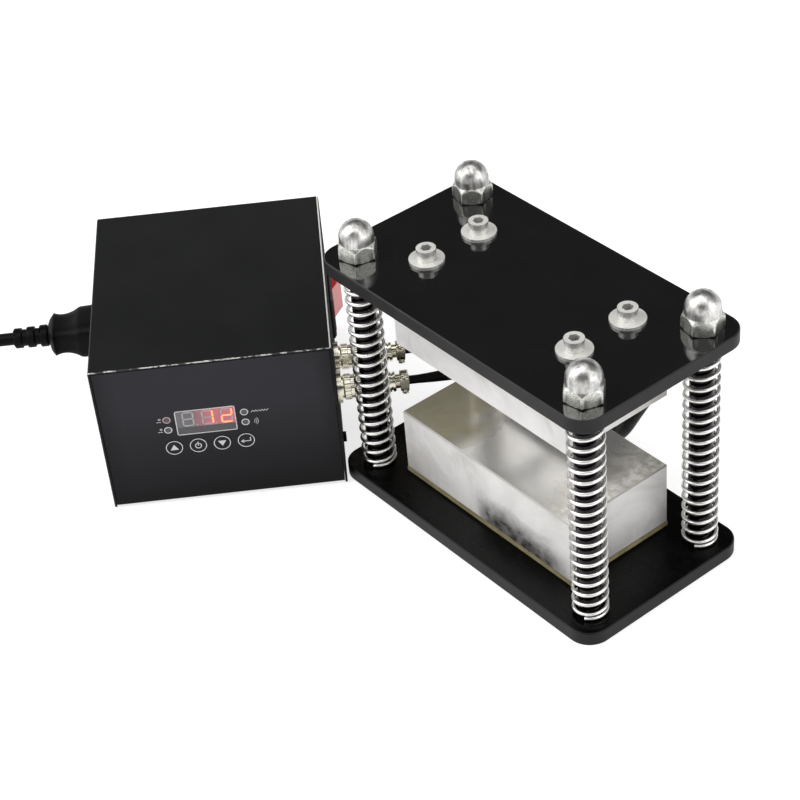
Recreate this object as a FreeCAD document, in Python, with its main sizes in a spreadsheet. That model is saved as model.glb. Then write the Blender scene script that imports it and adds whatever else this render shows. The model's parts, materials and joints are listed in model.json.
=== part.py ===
# Hydraulic heat press plate set with its temperature control box.
#
# Two black steel plates ride on four rods with a spring round each. Each plate carries a heated
# aluminium block. A hydraulic press squeezes the plates together, and the springs open them again.
# The control box stands beside the set and feeds both blocks through two screwed connectors.
#
# Millimetres. The origin is the centre of the base plate's underside, X runs along the plates,
# Y across them towards the side where the heaters enter, and Z is up.
import FreeCAD, Part
import Sketcher
import math
import os
import re

V = FreeCAD.Vector
doc = FreeCAD.newDocument("heat_press")

# Driving dimensions

SIZES = [
    ("plate_end_margin", 15.5, "from the rods' middles to the plates' ends"),
    ("plate_side_margin", 16.0, "from the rods' middles to the plates' long sides"),
    ("plate_thickness", 8.0, "both plates"),
    ("plate_corner_radius", 12.0, "rounded corners of the plates"),
    ("plate_edge_chamfer", 0.6, "broken edges of the plates"),
    ("plate_gap", 122.0, "between the plates when the press is open"),
    ("rod_pitch_length", 163.0, "rod to rod along X"),
    ("rod_pitch_width", 75.0, "rod to rod along Y"),
    ("rod_diameter", 12.0, "guide rods"),
    ("rod_stud_diameter", 10.0, "lower end of a rod, held in the base plate"),
    ("rod_thread_length", 13.0, "how far a rod reaches into its nut"),
    ("rod_running_gap", 0.3, "radial gap of the rods in the top plate"),
    ("thread_gap", 0.05, "radial gap of a male thread in its female one"),
    ("spring_wire", 2.0, "wire of the return springs"),
    ("spring_bore_gap", 1.25, "radial gap between a rod and its spring"),
    ("spring_turns", 20.0, "turns of one spring, with its two end turns"),
    ("spring_end_pitch", 2.5, "rise of each end turn"),
    ("spring_seat_gap", 0.5, "between a spring and each plate"),
    ("nut_flats", 18.0, "dome nut across flats"),
    ("nut_hex_height", 9.2, "hexagon of the dome nut"),
    ("nut_dome_diameter", 17.0, "dome of the nut"),
    ("nut_total_height", 20.0, "dome nut, base to crown"),
    ("nut_bore_depth", 15.0, "blind bore of the dome nut"),
    ("block_length", 127.0, "heater blocks, along X"),
    ("block_width", 66.0, "heater blocks, along Y"),
    ("block_height", 37.0, "heater blocks"),
    ("block_edge_chamfer", 0.7, "broken edges of the blocks"),
    ("insulation_thickness", 2.5, "board between each block and its plate"),
    ("screw_pitch_length", 106.0, "block screws along X"),
    ("screw_pitch_width", 34.0, "block screws along Y"),
    ("screw_diameter", 6.0, "block screws"),
    ("screw_head_diameter", 10.0, "heads of the block screws"),
    ("screw_head_height", 6.0, "heads of the block screws"),
    ("screw_key_flats", 5.0, "hexagon socket of the block screws"),
    ("screw_key_depth", 3.0, "hexagon socket of the block screws"),
    ("screw_grip", 12.0, "how far a block screw reaches into its block"),
    ("screw_hole_gap", 0.3, "radial gap of the screws in plates and boards"),
    ("screw_sink_gap", 0.5, "round and under a sunk screw head"),
    ("washer_diameter", 18.0, "washers under the upper heads"),
    ("washer_thickness", 1.6, "washers under the upper heads"),
    ("heater_pitch", 64.0, "between the two cartridge heaters of a block"),
    ("heater_diameter", 9.8, "cartridge heaters"),
    ("heater_depth", 56.0, "how far a heater reaches into its block"),
    ("heater_gap", 0.1, "radial gap of a heater in its bore"),
    ("heater_collar_diameter", 7.0, "potted end of a heater"),
    ("heater_collar_length", 3.0, "potted end of a heater"),
    ("probe_diameter", 6.0, "threaded shank of the thermocouple"),
    ("probe_depth", 20.0, "how far the thermocouple reaches into its block"),
    ("probe_flats", 10.0, "hexagon of the thermocouple"),
    ("probe_hex_height", 4.0, "hexagon of the thermocouple"),
    ("probe_sleeve_diameter", 4.0, "crimped sleeve behind the hexagon"),
    ("probe_sleeve_length", 10.0, "crimped sleeve behind the hexagon"),
    ("lead_diameter", 2.6, "sleeved leads between a junction and the heaters"),
    ("junction_diameter", 8.4, "shrunk sleeve where the leads join a cable"),
    ("junction_length", 12.0, "shrunk sleeve where the leads join a cable"),
    ("cable_diameter", 5.2, "heater cables"),
    ("plug_cable_run", 12.0, "straight start of a cable at its plug"),
    ("lead_spread", 1.9, "leads from the middle of their junction"),
    ("lower_lead_run", 14.0, "straight start of the lower leads"),
    ("upper_lead_run", 20.0, "straight start of the upper leads"),
    ("case_end_overlap", 11.71, "box's front right corner inward of the plates' left end"),
    ("case_side_gap", 3.78, "box's front right corner beyond the plates' front side"),
    ("case_turn", 55.15, "degrees from X to the box's right hand side's outward direction"),
    ("case_width", 124.0, "control box, left to right"),
    ("case_depth", 145.0, "control box, front to back"),
    ("case_top", 89.5, "top of the control box above the table"),
    ("foot_height", 1.0, "below the control box"),
    ("foot_diameter", 12.0, "rubber feet"),
    ("foot_inset", 14.0, "feet from the box's sides"),
    ("sheet_thickness", 1.2, "folded steel of the control box"),
    ("sheet_fit", 0.2, "between the cover and the chassis"),
    ("bend_radius", 1.0, "outer bends of the cover"),
    ("tab_size", 12.0, "folded tabs that the cover is screwed to"),
    ("tab_height", 12.0, "screws in the tabs above the case floor"),
    ("tab_inset", 22.0, "middle of the tabs from the box's front and back"),
    ("hole_fit", 0.2, "round the parts that are set in the box's walls"),
    ("case_screw_diameter", 3.0, "screws of the cover"),
    ("case_screw_head", 5.6, "heads of the cover's screws"),
    ("case_screw_head_height", 1.8, "heads of the cover's screws"),
    ("overlay_thickness", 0.8, "film on the front"),
    ("overlay_margin", 1.6, "from the film to the box's edges"),
    ("window_width", 30.6, "display window"),
    ("window_height", 15.0, "display window"),
    ("window_x", 68.9, "middle of the display window from the box's right side"),
    ("window_z", 51.8, "middle of the display window"),
    ("window_fit", 0.1, "round the window in the film"),
    ("window_lip", 1.0, "rim of the front wall that the window rests on"),
    ("display_margin", 1.2, "display module beyond the window"),
    ("display_gap", 0.2, "between the display module and the window"),
    ("key_diameter", 9.0, "keys"),
    ("key_fit", 0.3, "radial gap round a key"),
    ("key_pitch", 12.5, "from key to key"),
    ("key_first_x", 87.35, "leftmost key from the box's right side"),
    ("key_z", 36.5, "height of the keys"),
    ("key_crown", 0.3, "how far a key stands proud of the film"),
    ("key_travel", 0.3, "stroke of a key"),
    ("key_rim", 1.0, "rim that holds a key behind the front wall"),
    ("key_rim_gap", 0.05, "between the rim of a key and the front wall"),
    ("key_stem_diameter", 3.0, "stem behind a key"),
    ("key_switch_size", 6.0, "switch behind a key"),
    ("key_switch_height", 3.5, "switch behind a key"),
    ("led_diameter", 3.2, "indicator lamps"),
    ("led_fit", 0.2, "radial gap round a lamp"),
    ("led_left_x", 88.9, "two lamps left of the window"),
    ("led_right_x", 48.8, "two lamps right of the window"),
    ("led_high_z", 54.7, "upper lamps"),
    ("led_low_z", 48.2, "lower lamps"),
    ("board_thickness", 1.6, "circuit boards"),
    ("board_standoff", 8.4, "from the front wall to the control board"),
    ("board_width", 72.0, "control board"),
    ("board_height", 44.0, "control board"),
    ("board_middle_x", 69.0, "middle of the control board"),
    ("board_middle_z", 46.0, "middle of the control board"),
    ("spacer_diameter", 5.5, "spacers of the boards"),
    ("spacer_inset", 4.0, "spacers from the boards' edges"),
    ("power_board_width", 84.0, "power board, left to right"),
    ("power_board_depth", 70.0, "power board, front to back"),
    ("power_board_y", 78.0, "middle of the power board from the front"),
    ("power_standoff", 6.0, "from the case floor to the power board"),
    ("transformer_size", 34.0, "transformer on the power board"),
    ("relay_length", 24.0, "relays on the power board"),
    ("relay_width", 13.0, "relays on the power board"),
    ("relay_height", 17.0, "relays on the power board"),
    ("socket_z", 45.0, "height of the heater sockets, the switch and the inlet"),
    ("socket_first_y", 25.0, "front heater socket from the box's front"),
    ("socket_pitch", 27.0, "between the two heater sockets"),
    ("socket_flange", 17.0, "round flange of a heater socket"),
    ("socket_flange_thickness", 2.4, "round flange of a heater socket"),
    ("socket_barrel", 12.0, "threaded barrel of a heater socket"),
    ("socket_barrel_length", 11.0, "barrel outside the wall"),
    ("socket_inner_length", 9.0, "barrel inside the wall"),
    ("socket_nut", 16.0, "nut inside the wall, across flats"),
    ("socket_nut_height", 3.0, "nut inside the wall"),
    ("plug_ring_diameter", 16.0, "knurled coupling ring of a heater plug"),
    ("plug_ring_gap", 0.6, "between the coupling ring and the socket's flange"),
    ("plug_ring_length", 10.5, "knurled coupling ring of a heater plug"),
    ("plug_ring_flutes", 20.0, "grip flutes round the coupling ring"),
    ("plug_ring_flute_diameter", 1.2, "grip flutes round the coupling ring"),
    ("plug_shell_diameter", 12.4, "shell of a heater plug"),
    ("plug_neck_diameter", 10.0, "neck of the shell inside the ring"),
    ("plug_neck_fit", 0.3, "round the neck and between the ring and the shell"),
    ("plug_shell_length", 17.0, "shell beyond the ring"),
    ("plug_tail_diameter", 8.8, "narrow end of the shell"),
    ("plug_clamp_height", 14.5, "cable clamp over its two ears"),
    ("plug_clamp_width", 8.4, "cable clamp across its strap"),
    ("plug_clamp_length", 7.5, "cable clamp at the end of a plug"),
    ("plug_clamp_screw", 3.8, "heads of the clamp's screws"),
    ("rocker_y", 103.0, "power switch from the box's front"),
    ("rocker_bezel_length", 31.0, "bezel of the power switch, front to back"),
    ("rocker_bezel_height", 25.5, "bezel of the power switch"),
    ("rocker_bezel_thickness", 2.2, "bezel of the power switch"),
    ("rocker_bezel_bevel", 1.2, "sloped rim of the bezel"),
    ("rocker_body_length", 28.0, "body of the power switch in the wall, front to back"),
    ("rocker_body_height", 22.0, "body of the power switch in the wall"),
    ("rocker_body_depth", 20.0, "body of the power switch in the wall"),
    ("rocker_length", 25.4, "rocker, front to back"),
    ("rocker_height", 19.4, "rocker"),
    ("rocker_valley", 2.2, "middle of the rocker's face from the wall"),
    ("rocker_tilt", 12.5, "degrees that the rocker leans either way"),
    ("rocker_depth", 6.0, "rocker behind its pivot"),
    ("rocker_fit", 0.5, "round the rocker"),
    ("inlet_y", 102.0, "mains inlet from the box's front"),
    ("inlet_flange_width", 50.0, "flange of the mains inlet, front to back"),
    ("inlet_flange_height", 23.0, "flange of the mains inlet"),
    ("inlet_flange_thickness", 2.5, "flange of the mains inlet"),
    ("inlet_body_width", 27.6, "body of the mains inlet in the wall"),
    ("inlet_body_height", 19.6, "body of the mains inlet in the wall"),
    ("inlet_body_depth", 16.0, "body of the mains inlet in the wall"),
    ("inlet_screw_pitch", 40.0, "screws of the mains inlet"),
    ("connector_width", 24.6, "mains connector, front to back"),
    ("connector_height", 16.6, "mains connector"),
    ("connector_nose", 12.0, "nose of the connector inside the inlet"),
    ("connector_fit", 0.3, "round the connector's nose"),
    ("connector_grip_length", 33.0, "moulded grip outside the inlet"),
    ("connector_collar", 3.0, "how far the grip's ends stand out beyond its waist"),
    ("connector_corner", 3.0, "cut corners of the connector"),
    ("relief_length", 21.0, "ribbed strain relief"),
    ("relief_diameter", 9.0, "strain relief between its ribs"),
    ("relief_rib", 1.6, "how far the ribs stand out"),
    ("mains_diameter", 7.0, "mains cord"),
    ("mains_coil_radius", 44.0, "outer turn of the stored cord"),
    ("mains_coil_step", 7.6, "from turn to turn and from layer to layer"),
    ("mains_coil_turns", 2.25, "turns in each of the two layers"),
    ("mains_bend_step", 20.5, "degrees from run to run where the cord comes down to the table"),
    ("table_gap", 0.3, "below the stored cord and its plug"),
    ("wall_plug_length", 34.0, "moulded wall plug"),
    ("wall_plug_width", 25.0, "moulded wall plug"),
    ("wall_plug_corner", 4.0, "cut corners of the wall plug"),
    ("blade_length", 16.0, "flat blades of the wall plug"),
    ("blade_width", 6.3, "flat blades of the wall plug"),
    ("blade_thickness", 1.5, "flat blades of the wall plug"),
    ("blade_pitch", 12.7, "between the flat blades"),
    ("earth_pin_diameter", 4.8, "earth pin of the wall plug"),
    ("earth_pin_drop", 8.0, "earth pin below the plug's middle"),
]
VALUES = {name: value for name, value, note in SIZES}

sheet = doc.addObject("Spreadsheet::Sheet", "sizes")
for row, (name, value, note) in enumerate(SIZES, start=1):
    sheet.set(f"A{row}", name)
    sheet.set(f"B{row}", repr(value))
    sheet.set(f"C{row}", note)
    sheet.setAlias(f"B{row}", name)
doc.recompute()


def size(name):
    """The number that a cell of the sheet holds."""
    return float(sheet.get(name))


def formula(text):
    """Turns plain size names into references to the sheet."""
    def refer(word):
        return "sizes." + word.group() if word.group() in VALUES else word.group()
    return re.sub(r"[a-z][a-z_]*", refer, text)


def bind(obj, prop, text):
    obj.setExpression(prop, formula(text))


CORNERS = [("front_left", "-", "-"), ("front_right", "", "-"), ("back_left", "-", ""), ("back_right", "", "")]

# Heights that several pieces share, as formulas
BLOCK_BASE = "(plate_thickness + insulation_thickness)"
BLOCK_TOP = f"({BLOCK_BASE} + block_height)"
OPEN_Z = "(plate_thickness + plate_gap)"
PLATEN_TOP = f"({OPEN_Z} + plate_thickness)"
UPPER_BASE = f"({OPEN_Z} - insulation_thickness - block_height)"
CASE_FLOOR = "(foot_height + sheet_thickness)"
CASE_X = "case_end_overlap - rod_pitch_length / 2 - plate_end_margin"
CASE_Y = "-rod_pitch_width / 2 - plate_side_margin - case_side_gap"

# Bodies made from sketches


def new_body(label):
    body = doc.addObject("PartDesign::Body", label)
    body.Label = label
    return body


def new_sketch(body, name, role, offset="0"):
    """A sketch on one of the body's own origin planes, moved along the plane's normal."""
    sketch = body.newObject("Sketcher::SketchObject", f"{body.Name}_{name}")
    plane = next(item for item in body.Origin.OriginFeatures if item.Role == role)
    sketch.AttachmentSupport = (plane, [""])
    sketch.MapMode = "FlatFace"
    bind(sketch, "AttachmentOffset.Base.z", offset)
    return sketch


def name_constraint(sketch, constraint, text):
    index = sketch.addConstraint(constraint)
    label = f"size_{index}"
    sketch.renameConstraint(index, label)
    bind(sketch, f"Constraints.{label}", text)


def add_rectangle(sketch, width, height, x="0", y="0"):
    """A rectangle of the given size with its middle at x, y."""
    first = sketch.GeometryCount
    corners = [V(0, 0, 0), V(9, 0, 0), V(9, 9, 0), V(0, 9, 0)]
    for index in range(4):
        sketch.addGeometry(Part.LineSegment(corners[index], corners[(index + 1) % 4]), False)
    for index in range(4):
        following = first + (index + 1) % 4
        sketch.addConstraint(Sketcher.Constraint("Coincident", first + index, 2, following, 1))
        direction = "Vertical" if index % 2 else "Horizontal"
        sketch.addConstraint(Sketcher.Constraint(direction, first + index))
    name_constraint(sketch, Sketcher.Constraint("DistanceX", first, 1, first, 2, 9.0), width)
    name_constraint(sketch, Sketcher.Constraint("DistanceY", first + 1, 1, first + 1, 2, 9.0), height)
    name_constraint(sketch, Sketcher.Constraint("DistanceX", -1, 1, first, 1, 0.1), f"{x} - ({width}) / 2")
    name_constraint(sketch, Sketcher.Constraint("DistanceY", -1, 1, first, 1, 0.1), f"{y} - ({height}) / 2")


def add_circle(sketch, diameter, x="0", y="0"):
    index = sketch.addGeometry(Part.Circle(V(1, 1, 0), V(0, 0, 1), 2.0), False)
    name_constraint(sketch, Sketcher.Constraint("Radius", index, 2.0), f"({diameter}) / 2")
    name_constraint(sketch, Sketcher.Constraint("DistanceX", -1, 1, index, 3, 1.0), x)
    name_constraint(sketch, Sketcher.Constraint("DistanceY", -1, 1, index, 3, 1.0), y)


def add_profile(sketch, points):
    """A closed outline of straight lines, each point given as two formulas."""
    first = sketch.GeometryCount
    count = len(points)
    angles = [2 * math.pi * index / count for index in range(count)]
    ring = [V(9 * math.cos(angle), 9 * math.sin(angle), 0) for angle in angles]
    for index in range(count):
        sketch.addGeometry(Part.LineSegment(ring[index], ring[(index + 1) % count]), False)
    for index, (x, y) in enumerate(points):
        following = first + (index + 1) % count
        sketch.addConstraint(Sketcher.Constraint("Coincident", first + index, 2, following, 1))
        name_constraint(sketch, Sketcher.Constraint("DistanceX", -1, 1, first + index, 1, 0.1), x)
        name_constraint(sketch, Sketcher.Constraint("DistanceY", -1, 1, first + index, 1, 0.1), y)


def pad(body, sketch, length):
    feature = body.newObject("PartDesign::Pad", f"{sketch.Name}_pad")
    feature.Profile = sketch
    bind(feature, "Length", length)
    sketch.Visibility = False
    doc.recompute()
    return feature


def pocket(body, sketch, length, reverse=False):
    """Cuts against the sketch's normal, or along it if reversed, and tests that it cut."""
    before = body.Shape.Volume
    feature = body.newObject("PartDesign::Pocket", f"{sketch.Name}_pocket")
    feature.Profile = sketch
    feature.Reversed = reverse
    bind(feature, "Length", length)
    doc.recompute()
    if body.Shape.Volume >= before - 1e-6:
        raise ValueError(f"{feature.Name} cuts nothing")
    return feature


def revolve(label, points):
    """A body turned round Z from an outline of radius and height formulas."""
    body = new_body(label)
    sketch = new_sketch(body, "profile", "XZ_Plane")
    add_profile(sketch, points)
    doc.recompute()
    feature = body.newObject("PartDesign::Revolution", f"{label}_turn")
    feature.Profile = sketch
    feature.ReferenceAxis = (sketch, ["V_Axis"])
    feature.Angle = 360.0
    doc.recompute()
    return body


def dress_edges(body, kind, prop, text, choose):
    """A Fillet or Chamfer on the edges of the body's last shape that choose picks."""
    doc.recompute()
    base = body.Tip
    names = [f"Edge{index}" for index, edge in enumerate(base.Shape.Edges, start=1) if choose(edge)]
    feature = body.newObject(f"PartDesign::{kind}", f"{body.Name}_{kind.lower()}_{len(body.Group)}")
    feature.Base = (base, names)
    bind(feature, prop, text)
    doc.recompute()
    return feature


def upright(edge):
    if not isinstance(edge.Curve, Part.Line):
        return False
    return abs(edge.tangentAt(edge.FirstParameter).z) > 0.999


def level_at(*heights):
    def choose(edge):
        box = edge.BoundBox
        return box.ZLength < 1e-6 and any(abs(box.ZMin - height) < 1e-6 for height in heights)
    return choose


# Pieces made from primitives

AXES = {
    "z": FreeCAD.Rotation(),
    "x": FreeCAD.Rotation(V(0, 1, 0), 90),
    "y": FreeCAD.Rotation(V(1, 0, 0), -90),
}


def place(obj, x="0", y="0", z="0"):
    bind(obj, "Placement.Base.x", x)
    bind(obj, "Placement.Base.y", y)
    bind(obj, "Placement.Base.z", z)
    return obj


def cylinder(name, diameter, length, x="0", y="0", z="0", axis="z"):
    obj = doc.addObject("Part::Cylinder", name)
    obj.Placement = FreeCAD.Placement(V(), AXES[axis])
    bind(obj, "Radius", f"({diameter}) / 2")
    bind(obj, "Height", length)
    return place(obj, x, y, z)


def cone(name, start, end, length, x="0", y="0", z="0", axis="z"):
    obj = doc.addObject("Part::Cone", name)
    obj.Placement = FreeCAD.Placement(V(), AXES[axis])
    bind(obj, "Radius1", f"({start}) / 2")
    bind(obj, "Radius2", f"({end}) / 2")
    bind(obj, "Height", length)
    return place(obj, x, y, z)


def sphere(name, diameter, x="0", y="0", z="0"):
    obj = doc.addObject("Part::Sphere", name)
    bind(obj, "Radius", f"({diameter}) / 2")
    return place(obj, x, y, z)


def hexagon(name, flats, length, x="0", y="0", z="0", axis="z", turn=0.0):
    """A six-sided bar, its size given across the flats."""
    obj = doc.addObject("Part::Prism", name)
    obj.Polygon = 6
    turned = FreeCAD.Rotation(V(0, 0, 1), turn)
    obj.Placement = FreeCAD.Placement(V(), AXES[axis].multiply(turned))
    bind(obj, "Circumradius", f"({flats}) / 2 / cos(30 deg)")
    bind(obj, "Height", length)
    return place(obj, x, y, z)


def block(name, length, width, height, x="0", y="0", z="0"):
    """A box with its middle at x, y and its bottom at z."""
    obj = doc.addObject("Part::Box", name)
    bind(obj, "Length", length)
    bind(obj, "Width", width)
    bind(obj, "Height", height)
    return place(obj, f"{x} - ({length}) / 2", f"{y} - ({width}) / 2", z)


def set_piece(label, piece):
    """A piece made of one primitive, so that it can be moved again as a whole."""
    obj = doc.addObject("Part::Compound", label)
    obj.Links = [piece]
    obj.Label = label
    return obj


def joined(label, pieces):
    """One object of the given pieces, which stay separate solids where they don't touch."""
    obj = doc.addObject("Part::MultiFuse", label)
    obj.Shapes = pieces
    obj.Label = label
    return obj


def shared(label, pieces):
    obj = doc.addObject("Part::MultiCommon", label)
    obj.Shapes = pieces
    obj.Label = label
    return obj


def cut(label, base, tools):
    obj = doc.addObject("Part::Cut", label)
    obj.Base = base
    obj.Tool = tools[0] if len(tools) == 1 else joined(f"{label}_tools", tools)
    obj.Label = label
    return obj


NODES = []


def keep(obj, in_case=False):
    """Marks a finished sub-part, and sets it in the control box's own frame if asked."""
    if in_case:
        obj.Placement = FreeCAD.Placement(V(), FreeCAD.Rotation(V(0, 0, 1), 1.0))
        bind(obj, "Placement.Base.x", CASE_X)
        bind(obj, "Placement.Base.y", CASE_Y)
        bind(obj, "Placement.Rotation.Angle", "case_turn * 1 deg")
    NODES.append(obj)
    return obj


def keep_shape(label, shape, placement=None):
    obj = doc.addObject("Part::Feature", label)
    obj.Label = label
    obj.Shape = shape
    if placement is not None:
        obj.Placement = placement
    NODES.append(obj)
    return obj


def case_placement():
    turn = FreeCAD.Rotation(V(0, 0, 1), size("case_turn"))
    end = size("rod_pitch_length") / 2 + size("plate_end_margin")
    side = size("rod_pitch_width") / 2 + size("plate_side_margin")
    return FreeCAD.Placement(V(size("case_end_overlap") - end, -side - size("case_side_gap"), 0), turn)

# Plates

def corner_places(length, width):
    return [(f"{sx}({length}) / 2", f"{sy}({width}) / 2") for name, sx, sy in CORNERS]


ROD_PLACES = corner_places("rod_pitch_length", "rod_pitch_width")

# Degrees from X to one corner of each nut's hexagon; each nut was tightened to its own angle
NUT_TURNS = [15.4, 10.5, 47.8, 46.8]
SCREW_PLACES = corner_places("screw_pitch_length", "screw_pitch_width")


def add_circles(sketch, diameter, places):
    for x, y in places:
        add_circle(sketch, diameter, x, y)


def plate(label, bottom, rod_hole):
    """A plate with rounded corners, broken edges and holes for the rods and the block's screws."""
    body = new_body(label)
    outline = new_sketch(body, "outline", "XY_Plane", bottom)
    add_rectangle(outline, "rod_pitch_length + 2 * plate_end_margin",
                  "rod_pitch_width + 2 * plate_side_margin")
    pad(body, outline, "plate_thickness")
    body.Tip = dress_edges(body, "Fillet", "Radius", "plate_corner_radius", upright)
    low = body.Shape.BoundBox.ZMin
    high = body.Shape.BoundBox.ZMax
    body.Tip = dress_edges(body, "Chamfer", "Size", "plate_edge_chamfer", level_at(low, high))
    rods = new_sketch(body, "rod_holes", "XY_Plane", bottom)
    add_circles(rods, rod_hole, ROD_PLACES)
    pocket(body, rods, "plate_thickness", reverse=True)
    screws = new_sketch(body, "screw_holes", "XY_Plane", bottom)
    add_circles(screws, "screw_diameter + 2 * screw_hole_gap", SCREW_PLACES)
    pocket(body, screws, "plate_thickness", reverse=True)
    return body


base_plate = plate("base_plate", "0", "rod_stud_diameter + 2 * thread_gap")
sinks = new_sketch(base_plate, "head_sinks", "XY_Plane")
add_circles(sinks, "screw_head_diameter + 2 * screw_sink_gap", SCREW_PLACES)
pocket(base_plate, sinks, "screw_head_height + screw_sink_gap", reverse=True)
keep(base_plate)
keep(plate("top_plate", OPEN_Z, "rod_diameter + 2 * rod_running_gap"))

# Heater blocks and the boards between them and the plates


def insulation(label, bottom):
    body = new_body(label)
    outline = new_sketch(body, "outline", "XY_Plane", bottom)
    add_rectangle(outline, "block_length", "block_width")
    pad(body, outline, "insulation_thickness")
    screws = new_sketch(body, "screw_holes", "XY_Plane", bottom)
    add_circles(screws, "screw_diameter + 2 * screw_hole_gap", SCREW_PLACES)
    pocket(body, screws, "insulation_thickness", reverse=True)
    return keep(body)


def heater_block(label, bottom, tapped_from, tap_upwards):
    """A block with tapped holes in its plate side and three bores in its back face."""
    body = new_body(label)
    outline = new_sketch(body, "outline", "XY_Plane", bottom)
    add_rectangle(outline, "block_length", "block_width")
    pad(body, outline, "block_height")
    body.Tip = dress_edges(body, "Chamfer", "Size", "block_edge_chamfer", lambda edge: True)
    taps = new_sketch(body, "tapped_holes", "XY_Plane", tapped_from)
    add_circles(taps, "screw_diameter + 2 * thread_gap", SCREW_PLACES)
    pocket(body, taps, "screw_grip + screw_sink_gap", reverse=tap_upwards)
    middle = f"{bottom} + block_height / 2"
    heaters = new_sketch(body, "heater_bores", "XZ_Plane", "-block_width / 2")
    add_circle(heaters, "heater_diameter + 2 * heater_gap", "-heater_pitch / 2", middle)
    add_circle(heaters, "heater_diameter + 2 * heater_gap", "heater_pitch / 2", middle)
    pocket(body, heaters, "heater_depth + screw_sink_gap", reverse=True)
    probe = new_sketch(body, "probe_bore", "XZ_Plane", "-block_width / 2")
    add_circle(probe, "probe_diameter + 2 * thread_gap", "0", middle)
    pocket(body, probe, "probe_depth + screw_sink_gap", reverse=True)
    return keep(body)


insulation("lower_insulation_sheet", "plate_thickness")
heater_block("lower_heater_block", BLOCK_BASE, BLOCK_BASE, True)
insulation("upper_insulation_sheet", f"({OPEN_Z} - insulation_thickness)")
heater_block("upper_heater_block", UPPER_BASE, f"({UPPER_BASE} + block_height)", False)


def socket_screws(label, seat, facing_up):
    """Four screws with hexagon sockets; seat is the height of the face that the heads bear on."""
    pieces = []
    for index, (x, y) in enumerate(SCREW_PLACES):
        name = f"{label}_{index}"
        head_z = seat if facing_up else f"{seat} - screw_head_height"
        head = cylinder(f"{name}_head", "screw_head_diameter", "screw_head_height", x, y, head_z)
        shank_z = f"{seat} - ({SCREW_LENGTH_ABOVE})" if facing_up else seat
        length = SCREW_LENGTH_ABOVE if facing_up else SCREW_LENGTH_BELOW
        shank = cylinder(f"{name}_shank", "screw_diameter", length, x, y, shank_z)
        key_z = f"{seat} - screw_head_height"
        if facing_up:
            key_z = f"{seat} + screw_head_height - screw_key_depth"
        key = hexagon(f"{name}_key", "screw_key_flats", "screw_key_depth", x, y, key_z)
        pieces.append(cut(f"{name}_screw", joined(f"{name}_solid", [head, shank]), [key]))
    return keep(joined(label, pieces))


SINK_ROOF = "(screw_head_height + screw_sink_gap)"
SCREW_LENGTH_BELOW = f"plate_thickness - {SINK_ROOF} + insulation_thickness + screw_grip"
SCREW_LENGTH_ABOVE = "washer_thickness + plate_thickness + insulation_thickness + screw_grip"
socket_screws("lower_block_screws", SINK_ROOF, False)
socket_screws("upper_block_screws", f"({PLATEN_TOP} + washer_thickness)", True)

washers = []
for index, (x, y) in enumerate(SCREW_PLACES):
    disc = cylinder(f"washer_{index}", "washer_diameter", "washer_thickness", x, y, PLATEN_TOP)
    hole = cylinder(f"washer_hole_{index}", "screw_diameter + 2 * screw_hole_gap", "washer_thickness",
                    x, y, PLATEN_TOP)
    washers.append(cut(f"washer_ring_{index}", disc, [hole]))
keep(joined("upper_screw_washers", washers))


def cartridge_heaters(label, middle):
    pieces = []
    for side in ("-", ""):
        x = f"{side}heater_pitch / 2"
        name = f"{label}_{len(pieces)}"
        body = cylinder(f"{name}_body", "heater_diameter", "heater_depth", x,
                        "block_width / 2 - heater_depth", middle, "y")
        collar = cylinder(f"{name}_collar", "heater_collar_diameter", "heater_collar_length", x,
                          "block_width / 2", middle, "y")
        pieces.append(joined(f"{name}_heater", [body, collar]))
    return keep(joined(label, pieces))


def thermocouple(label, middle):
    shank = cylinder(f"{label}_shank", "probe_diameter", "probe_depth", "0", "block_width / 2 - probe_depth",
                     middle, "y")
    nut = hexagon(f"{label}_nut", "probe_flats", "probe_hex_height", "0", "block_width / 2", middle, "y")
    sleeve_y = "block_width / 2 + probe_hex_height"
    sleeve = cylinder(f"{label}_sleeve", "probe_sleeve_diameter", "probe_sleeve_length", "0", sleeve_y,
                      middle, "y")
    return keep(joined(label, [shank, nut, sleeve]))


LOWER_MIDDLE = f"({BLOCK_BASE} + block_height / 2)"
UPPER_MIDDLE = f"({UPPER_BASE} + block_height / 2)"
for level, middle in (("lower", LOWER_MIDDLE), ("upper", UPPER_MIDDLE)):
    cartridge_heaters(f"{level}_cartridge_heaters", middle)
    thermocouple(f"{level}_thermocouple", middle)

# Guide rods and dome nuts

for (name, sx, sy), (x, y) in zip(CORNERS, ROD_PLACES):
    stud_bottom = "plate_edge_chamfer"
    rod_top = f"({PLATEN_TOP} + rod_thread_length)"
    rod = revolve(f"guide_rod_{name}", [
        ("0", stud_bottom),
        ("rod_stud_diameter / 2", stud_bottom),
        ("rod_stud_diameter / 2", "plate_thickness"),
        ("rod_diameter / 2", "plate_thickness"),
        ("rod_diameter / 2", f"{rod_top} - 1"),
        ("rod_diameter / 2 - 1", rod_top),
        ("0", rod_top),
    ])
    keep(place(rod, x, y))

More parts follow.
